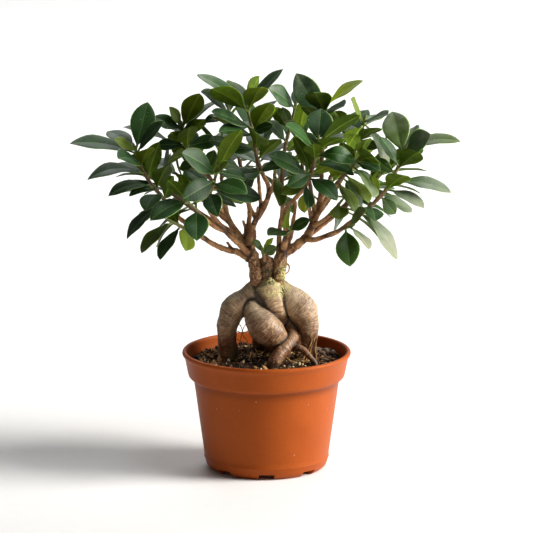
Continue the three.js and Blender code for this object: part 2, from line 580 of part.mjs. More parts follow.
// A leaf behind the trunk at one try: it turns about its twig, droops a little and faces upwards.
const turnPerBend = 0.045;
const leafDroop = 0.12;
const upwardLean = 0.5;
function ruledLeaf(shoot, row, bend, size) {
  const place = placeOn(shoot.route, row.at);
  const axis = place.tangent;
  const level = new THREE.Vector3(0, 0, 1).cross(axis).normalize();
  const upward = new THREE.Vector3().crossVectors(axis, level);
  const turn = row.turn + bend * turnPerBend;
  const forward = new THREE.Vector3()
    .addScaledVector(axis, Math.cos(row.spread))
    .addScaledVector(level, Math.sin(row.spread) * Math.cos(turn))
    .addScaledVector(upward, Math.sin(row.spread) * Math.sin(turn));
  forward.z -= leafDroop;
  forward.normalize();
  const length = row.length * size;
  const face = axis.clone().addScaledVector(new THREE.Vector3(0, 0, 1), upwardLean);
  face.addScaledVector(forward, -face.dot(forward)).normalize();
  const tip = place.point.clone().addScaledVector(forward, length);
  const width = length * matureWidthRatio;
  const sink = place.radius * leafSink;
  return { root: place.point, tip, face, width, arch: length * ruledArch, sink };
}

// Every shoot with its route, its wood share and the leaves it asks for
const boughRoutes = backBoughs.map((rows) =>
  rows.map(([x, y, z, radius]) => ({ point: new THREE.Vector3(x, y, z), radius })),
);
const shoots = shownShoots.map(({ name, route, leafy, leaves }) => ({
  name,
  route: routeOf(route),
  leafy,
  wanted: leaves,
  make: listedLeaf,
}));
hiddenShoots.forEach(([bough, at, tip, leafCount], number) => {
  const route = routeBehind(boughRoutes[bough], at, tip);
  const last = route.length - 1;
  const leafy = Math.round(last * hiddenWoodShare);
  const firstTurn = draw(0, 2 * Math.PI);
  const wanted = Array.from({ length: leafCount }, (_, k) => ({
    at: leafy + firstLeafStep + ((last - leafy - firstLeafStep) * k) / (leafCount - 1),
    turn: firstTurn + k * goldenAngle,
    spread: lowestSpread - (spreadRange * k) / (leafCount - 1),
    length: draw(shortestHiddenLeaf, longestHiddenLeaf),
  }));
  const name = "shoot_back_" + String(number + 1).padStart(2, "0");
  shoots.push({ name, route, leafy, wanted, make: ruledLeaf });
});

// Everything round that a blade keeps clear of: points along the wood and the twigs
const rootRoutes = roots.map(routeOf);
const trunkRoutes = trunk.map(routeOf);
const bareRoutes = bareTwigs.map(routeOf);
const beadsPerSpan = 5;
const leafyMargin = 0.25;
const leafyPerSpan = 8;
const stemBeads = [];
function addBeads(route, from, to, owner) {
  for (const place of placesAlong(route, from, to, beadsPerSpan)) {
    stemBeads.push({ ...place, owner });
  }
}
[...trunkRoutes, ...bareRoutes, ...boughRoutes].forEach((route) => {
  addBeads(route, 0, route.length - 1, null);
});
shoots.forEach((shoot) => {
  addBeads(shoot.route, 0, shoot.leafy, null);
  const last = shoot.route.length - 1;
  addBeads(shoot.route, shoot.leafy, last, shoot);
  shoot.leafyPlaces = placesAlong(shoot.route, shoot.leafy + leafyMargin, last, leafyPerSpan);
});

// A blade is bent clear of every other one: depths or turns are tried in order, then a smaller
// leaf, and a leaf that finds no room is left out.
const leafClearance = 3.3;
const siblingClearance = 2.2;
const stemClearance = 2.6;
const siblingFree = 0.4;
const bladeMiddle = 0.55;
const bends = [0, -5, 5, -10, 10, -15, 15, -20, 20, -26, 26, -33, 33];
const sizes = [1, 0.85, 0.7];
const grown = [];

function isClear(points, middle, reach, shoot) {
  for (const bead of stemBeads) {
    const near = bead.radius + stemClearance;
    if (middle.distanceTo(bead.point) > reach + near) continue;
    for (const { place, share } of points) {
      if (bead.owner === shoot && share < siblingFree) continue;
      if (place.distanceToSquared(bead.point) < near * near) return false;
    }
  }
  for (const other of grown) {
    if (middle.distanceTo(other.middle) > reach + other.reach + leafClearance) continue;
    const sibling = other.shoot === shoot;
    const near = sibling ? siblingClearance : leafClearance;
    for (const a of points) {
      if (sibling && a.share < siblingFree) continue;
      if (a.place.distanceTo(other.middle) > other.reach + near) continue;
      for (const b of other.points) {
        if (sibling && b.share < siblingFree) continue;
        if (a.place.distanceToSquared(b.place) < near * near) return false;
      }
    }
  }
  return true;
}

function growLeaf(shoot, row) {
  for (const size of sizes) {
    for (const bend of bends) {
      const leaf = shoot.make(shoot, row, bend, size);
      const points = bladePoints(leaf);
      const middle = leaf.root.clone().lerp(leaf.tip, bladeMiddle);
      const reach = Math.max(...points.map(({ place }) => place.distanceTo(middle)));
      if (!isClear(points, middle, reach, shoot)) continue;
      grown.push({ points, middle, reach, shoot });
      return leaf;
    }
  }
  return null;
}
shoots.forEach((shoot) => {
  shoot.leaves = shoot.wanted.map((row) => growLeaf(shoot, row)).filter((leaf) => leaf);
});

// Pot: one turned wall with its foot ring, rim band and rolled lip, then notches and drain holes
const footTop = footHeight + floorThickness;
const outerProfile = [
  [footInnerRadius, footHeight], [footInnerRadius, 0], [39.8, 0], [43.2, 3.4], [44.3, 8.5], [51.9, 64],
  [55.6, 67.6], [58.2, 79.5], [rimRadius, 82.6], [rimRadius, 84.4], [59.3, potHeight],
];
const innerProfile = [
  [57, potHeight], [56.4, 78.6], [53.9, 69], [50.3, 65.2], [42.8, 9], [41, footTop],
];
const notchLength = 14;
const notchRadius = 39.5;
const drainHoleSides = 8;
const drillLength = 10;
function makePot() {
  const outline = [[0, footHeight], ...outerProfile, ...innerProfile, [0, footTop]];
  const profile = outline.map(([r, z]) => new THREE.Vector2(r, z));
  const turned = new THREE.LatheGeometry(profile, potSegments);
  turned.rotateX(Math.PI / 2);
  let pot = solid(turned);
  for (let k = 0; k < notchCount; k++) {
    const angle = (k / notchCount) * 2 * Math.PI - Math.PI / 2;
    const notch = new THREE.BoxGeometry(notchLength, notchWidth, 2 * footHeight);
    notch.translate(notchRadius, 0, 0).rotateZ(angle);
    pot = pot.subtract(solid(notch));
  }
  for (let k = 0; k < drainHoleCount; k++) {
    const angle = ((k + 0.5) / drainHoleCount) * 2 * Math.PI;
    const radius = drainHoleRadius;
    const hole = new THREE.CylinderGeometry(radius, radius, drillLength, drainHoleSides);
    hole.rotateX(Math.PI / 2).translate(drainHoleCircle, 0, footHeight).rotateZ(angle);
    pot = pot.subtract(solid(hole));
  }
  return geometryOf(pot);
}

// Soil: fills the pot to its mounded, rough top, with bark chips and grit standing out of it and
// plain holes where the roots go down.
const heap = { height: 0.8, across: 0.31, shift: 1, away: 0.27 };
const drift = { height: 0.5, across: 0.12, away: 0.19 };
function soilHeight(x, y) {
  const radius = Math.hypot(x, y);
  const mound = soilTop - soilSlope * (radius / rimRadius) ** 2;
  const heaps = heap.height * Math.sin(heap.across * x + heap.shift) * Math.cos(heap.away * y);
  return mound + heaps + drift.height * Math.sin(drift.across * x - drift.away * y);
}
const soilTopRadius = 55.3;
const soilRingShares = [1, 0.76, 0.5, 0.24];
const chipCount = 18;
const chipReach = 50;
const chipLength = [5, 9];
const chipWidthShare = [0.45, 0.8];
const chipHeight = [2.4, 4];
const chipRoll = 0.5;
const chipPitch = 0.4;
const chipLift = 0.5;
function makeSoil(rootTubes) {
  const ringOf = (radius, height) =>
    Array.from({ length: potSegments }, (_, k) => {
      const angle = (k / potSegments) * 2 * Math.PI;
      const x = radius * Math.cos(angle);
      const y = radius * Math.sin(angle);
      return new THREE.Vector3(x, y, height ?? soilHeight(x, y));
    });
  const inside = [...innerProfile].reverse().slice(0, -2);
  const walls = inside.map(([r, z], k) => ringOf(r - pieceGap, k ? z : z + pieceGap));
  const tops = soilRingShares.map((share) => ringOf(soilTopRadius * share));
  const bottom = new THREE.Vector3(0, 0, footTop + pieceGap);
  const crown = new THREE.Vector3(0, 0, soilHeight(0, 0));
  let soil = solid(skin([...walls, ...tops], bottom, crown));
  for (let k = 0; k < chipCount; k++) {
    const radius = chipReach * Math.sqrt((k + 0.5) / chipCount);
    const angle = k * goldenAngle;
    const x = radius * Math.cos(angle);
    const y = radius * Math.sin(angle);
    const long = draw(...chipLength);
    const chip = new THREE.BoxGeometry(long, long * draw(...chipWidthShare), draw(...chipHeight));
    chip.rotateX(draw(-chipRoll, chipRoll)).rotateY(draw(-chipPitch, chipPitch));
    chip.rotateZ(draw(0, Math.PI)).translate(x, y, soilHeight(x, y) + chipLift);
    soil = soil.add(solid(chip));
  }
  return geometryOf(soil.subtract(rootTubes));
}

// Wood: roots, trunk, stumps, boughs and the bare stretch of every shoot, grown together
const rootSides = 8;
const boughSides = 6;
const twigSides = 4;
function tubes(routes, sides, grow = 0) {
  return routes.map((route) => {
    const places = placesAlong(route, 0, route.length - 1, 1);
    return solid(stemGeometry(places, sides, grow));
  });
}
function makeWood() {
  const branches = shoots.map((shoot) =>
    solid(stemGeometry(placesAlong(shoot.route, 0, shoot.leafy, 1), twigSides)),
  );
  return geometryOf(
    joined([
      ...tubes(trunkRoutes.slice(0, 2), rootSides),
      ...tubes(rootRoutes, rootSides),
      ...tubes(trunkRoutes.slice(2), boughSides),
      ...tubes(boughRoutes, boughSides),
      ...branches,
      ...tubes(bareRoutes, twigSides),
    ]),
  );
}

// Leafy piece of a shoot: its twig meets the wood face to face, and its leaves grow from it.
function makeShoot(shoot) {
  const places = placesAlong(shoot.route, shoot.leafy, shoot.route.length - 1, 1);
  const first = places[0];
  first.point = first.point.clone().addScaledVector(first.tangent, pieceGap);
  const twig = solid(stemGeometry(places, twigSides));
  return geometryOf(joined([twig, ...shoot.leaves.map((leaf) => solid(leafGeometry(leaf)))]));
}

// Finishes
const potPlastic = { color: 0xc4622f, roughness: 0.6, metalness: 0 };
const pottingSoil = { color: 0x241a12, roughness: 0.95, metalness: 0 };
const figBark = { color: 0x86705a, roughness: 0.8, metalness: 0 };
const figLeaf = { color: 0x24482a, roughness: 0.4, metalness: 0 };

const bonsai = new THREE.Group();
function addPiece(name, geometry, finish) {
  const mesh = new THREE.Mesh(geometry, new THREE.MeshStandardMaterial(finish));
  mesh.name = name;
  bonsai.add(mesh);
}
addPiece("pot", makePot(), potPlastic);
addPiece("soil", makeSoil(joined(tubes(rootRoutes, rootSides, pieceGap))), pottingSoil);
addPiece("wood", makeWood(), figBark);
shoots.forEach((shoot) => addPiece(shoot.name, makeShoot(shoot), figLeaf));

// The origin is the middle of the whole plant's box, at the height of the foot.
const box = new THREE.Box3().setFromObject(bonsai);
const middle = box.getCenter(new THREE.Vector3());
bonsai.position.set(-middle.x, -middle.y, -box.min.z);

export default bonsai;
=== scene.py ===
# Ficus ginseng bonsai in its plastic nursery pot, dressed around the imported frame.
import math
import time

import bpy
import numpy as np
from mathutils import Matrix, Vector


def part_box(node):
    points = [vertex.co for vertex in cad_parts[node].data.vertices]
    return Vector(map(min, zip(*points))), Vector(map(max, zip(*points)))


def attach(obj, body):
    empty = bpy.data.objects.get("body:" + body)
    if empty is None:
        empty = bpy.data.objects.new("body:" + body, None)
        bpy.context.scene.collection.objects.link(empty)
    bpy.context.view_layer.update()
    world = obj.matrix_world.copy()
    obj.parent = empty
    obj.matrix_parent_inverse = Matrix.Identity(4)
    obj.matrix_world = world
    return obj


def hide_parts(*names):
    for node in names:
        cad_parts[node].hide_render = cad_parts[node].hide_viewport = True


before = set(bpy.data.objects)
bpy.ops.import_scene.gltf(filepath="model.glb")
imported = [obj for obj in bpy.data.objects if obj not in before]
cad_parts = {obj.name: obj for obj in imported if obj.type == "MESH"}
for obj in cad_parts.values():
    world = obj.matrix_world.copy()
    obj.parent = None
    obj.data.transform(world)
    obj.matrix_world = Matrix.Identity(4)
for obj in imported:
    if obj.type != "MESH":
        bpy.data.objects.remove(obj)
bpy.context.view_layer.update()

startTime = time.time()


def report(stage):
    print(f"bonsai: {stage} ({time.time() - startTime:.1f} s)", flush=True)


# The plant is worked out in millimetres about the pot's axis; Blender's metres come last.
potLow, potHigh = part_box("pot")
potAxis = np.array([(potLow[0] + potHigh[0]) / 2, (potLow[1] + potHigh[1]) / 2, potLow[2]])
metre = 0.001


def inRoom(points):
    return np.asarray(points, dtype=float) * metre + potAxis


# Layout: what is seen from the front, from a little above, as the frame has it
layout = {
    "viewTilt": 0.225,  # how much higher a point shows for each mm that it stands further back
    "seed": 20117,
    "petioleShare": 0.12,
    "bladeFold": 0.16,
    "matureWidthRatio": 0.46,
    "widestBlade": 20,
    "mostDepth": 37,
    "leafClearance": 3.3,
    "siblingClearance": 2.2,
    "stemClearance": 2.6,
    "siblingFree": 0.4,
    "bends": [0, -5, 5, -10, 10, -15, 15, -20, 20, -26, 26, -33, 33],
    "sizes": [1, 0.85, 0.7],
    "hiddenWoodShare": 0.45,
    "shortestHiddenLeaf": 33,
    "longestHiddenLeaf": 42,
    "hiddenSpans": 5,
    "hiddenSag": 0.1,
    "hiddenRadii": (1.7, 0.9),  # the thickest foot and the tip of a twig
    "hiddenFirstLeaf": 0.7,
    "hiddenSpread": (1.25, 0.7),  # radians from the twig at its foot, and how many fewer at its tip
    "hiddenTurn": 0.045,  # radians about the twig for each step of bend
    "hiddenDroop": 0.12,
    "hiddenLift": 0.5,
    "hiddenArch": 0.08,
    "usualArch": 0.06,
    "outlinePower": 1.15,
    "outlineBluntness": 0.75,
    "bladeMiddle": 0.55,
    "testRows": 13,
    "testColumns": 3,
    "beadsPerSpan": 5,
    "placesPerSpan": 8,
    "firstPlace": 0.25,
}
goldenAngle = math.pi * (3 - math.sqrt(5))
towardViewer = np.array([0, -1, layout["viewTilt"]])
towardViewer = towardViewer / np.linalg.norm(towardViewer)
drawState = layout["seed"]


# Seeded draw: each state is the last one times 16807, modulo a large prime.
def draw(low, high):
    global drawState
    drawState = (drawState * 16807) % 2147483647
    return low + (high - low) * drawState / 2147483647


def unit(vector):
    return vector / np.linalg.norm(vector, axis=-1, keepdims=True)


def seen(x, height, depth):
    return np.array([x, depth, height - layout["viewTilt"] * depth], dtype=float)


def routeOf(rows):
    points = np.array([seen(row[0], row[1], row[2]) for row in rows])
    return {"points": points, "radii": np.array([row[3] for row in rows], dtype=float)}


# Places on a route: each span is a cubic through its two ends that leans on their neighbours.
def placesOn(route, at):
    at = np.atleast_1d(np.asarray(at, dtype=float))
    points, radii = route["points"], route["radii"]
    last = len(points) - 1
    i = np.minimum(np.floor(at).astype(int), last - 1)
    t = (at - i)[:, None]
    a, b = points[np.maximum(i - 1, 0)], points[i]
    c, d = points[i + 1], points[np.minimum(i + 2, last)]
    t2, t3 = t * t, t * t * t
    place = (
        a * ((-t + 2 * t2 - t3) / 2) + b * ((2 - 5 * t2 + 3 * t3) / 2)
        + c * ((t + 4 * t2 - 3 * t3) / 2) + d * ((-t2 + t3) / 2)
    )
    tangent = (
        a * ((-1 + 4 * t - 3 * t2) / 2) + b * ((-10 * t + 9 * t2) / 2)
        + c * ((1 + 8 * t - 9 * t2) / 2) + d * ((-2 * t + 3 * t2) / 2)
    )
    radius = radii[i] + (radii[i + 1] - radii[i]) * t[:, 0]
    return place, unit(tangent), radius


def placesAlong(route, start, end, perSpan):
    count = round((end - start) * perSpan)
    return placesOn(route, start + np.arange(count + 1) / perSpan)


# Roots, from the trunk down into the soil: across, seen height, depth, radius
roots = [
    [[-4, 130, 0, 9], [-12, 122, 0, 9.3], [-22, 116, -1, 9.4], [-26.5, 108, -2, 8.2],
        [-28.3, 100, -2, 6.8], [-28, 92, -1, 6.3], [-27, 85, 0, 6.8], [-26, 77, 1, 6.6],
        [-25, 57, 3, 2.6]],
    [[5, 131, 0, 9], [12, 124, 0, 9.6], [21, 119, -1, 10.8], [26.5, 112, -2, 10.3],
        [29.5, 104, -3, 7.9], [30, 97, -3, 6.2], [28.6, 90, -3, 4], [28.2, 82, -4, 2.9],
        [28.6, 62, -4, 1.7]],
    [[29.8, 98, -3, 5], [31.6, 91, -2, 3.1], [32.6, 82, -1, 2.7], [33.4, 62, 0, 1.6]],
    [[1, 132, -2, 11], [2, 128, -3, 11], [5, 120, -5, 9], [8, 112, -4, 7.2], [10, 105, 1, 5],
        [8, 96, 8, 5.2], [5, 88, 14, 5.2], [3, 80, 19, 4.8], [1, 60, 23, 2.4]],
    [[-8, 125, 0, 6], [-9.6, 119, -5, 6], [-8.6, 113, -9, 7.6], [-5.4, 107, -12, 10.2],
        [-1, 101.6, -13.5, 11.4], [4, 97.4, -13.5, 10.2], [8.4, 93.4, -10.5, 7.4],
        [11.6, 87.6, -7, 4.8], [13, 80, -4, 3.9], [14, 60, -3, 2.2]],
    [[10, 112, 3, 5], [15, 106, 1, 4.6], [18, 99, -4, 4.6], [17.6, 93, -11, 4.9],
        [13.5, 87.5, -18, 4.5], [9, 82.5, -22, 4.7], [5.6, 76.5, -25, 4.9], [4, 70, -26, 4.2],
        [0.5, 54, -26, 1.8]],
    [[5, 74, -25.5, 3.6], [8, 68, -26, 2.6], [9.5, 60, -26, 1.6]],
    [[17, 91, -12, 3], [20, 88, -14, 2.8], [24, 86.5, -16, 2.5], [28, 83.5, -17.5, 2.2],
        [32, 79, -18.5, 1.9], [35, 74.5, -19, 1.7], [37, 63, -19, 1]],
    [[-3, 126, 6, 9.5], [-4, 117, 13, 8.8], [-4, 107, 19, 7.2], [-4.6, 97, 23, 5.6],
        [-5.4, 88, 25, 4.9], [-6, 78, 27, 4.4], [-6.4, 58, 28, 2]],
    [[6, 127, 6, 9], [13, 119, 12, 8.6], [19, 110, 17, 7.4], [21.5, 100, 21, 6], [21, 91, 24, 5],
        [19.5, 82, 26, 4.5], [18, 61, 28, 2]],
]

# Trunk neck, cut stub, knob, the stumps with the grafted boughs, and a wiry aerial root
trunk = [
    [[0, 118, 1, 12.5], [0.5, 126, 0.5, 12.6], [1, 133, 0, 10.4], [0.8, 139.5, 0, 5.5]],
    [[0, 134, -2, 5], [0.4, 141, -2.4, 4.7], [0.3, 152.2, -2.6, 4.3]],
    [[1, 133, -5, 4], [2.4, 137, -9.5, 3]],
    [[-7, 131, 0, 3.4], [-7.6, 136.5, -4.4, 4], [-7.8, 142.5, -4, 4.4], [-8.4, 148, -3, 4.4],
        [-9.8, 153, -1.5, 4.3], [-12, 158, 0, 3.4]],
    [[8.6, 131, 0, 3.4], [9, 136.5, -4.4, 3.8], [9.4, 143, -4, 4.1], [9.7, 149, -3, 4.3],
        [10.4, 154, -1, 4.3], [10.6, 158, 0.5, 3.8]],
    [[9.6, 151, 0, 4.3], [12.6, 156.6, 0, 3.7], [20, 160.5, 0, 3.1], [27.6, 167, 0, 2.8],
        [32, 174.5, 0.5, 2.6], [35.3, 183.5, 1.5, 2.1]],
    [[12.4, 149.5, -1, 0.6], [16, 146.6, -1.6, 0.6], [15.6, 142.5, -2, 0.5], [13.2, 140.4, -2, 0.5]],
]

# Snags and short dry twigs
bareTwigs = [
    [[-24, 157.5, -4, 1.3], [-26, 161, -3, 0.9], [-28, 163.8, -2, 0.8]],
    [[-15.5, 165, 5, 1.4], [-15, 173, 5, 1], [-16.6, 179.4, 4, 0.8]],
    [[-8.6, 178, -2, 1.2], [-6.8, 184, -2, 0.9], [-6, 189.4, -2, 0.9]],
    [[-11, 156, -1, 1.5], [-8.6, 165, -4, 1], [-8, 172.4, -5, 0.8]],
    [[34.6, 182, 0, 1.3], [31, 186.4, -2, 0.9], [28.4, 189.4, -3, 0.8]],
    [[11, 156, 1, 2.2], [15, 163, 4, 1.9], [18, 172, 7, 1.7], [19.2, 180.4, 8, 1.4],
        [20.4, 187, 7, 0.9], [20.8, 193.4, 7, 0.8]],
]

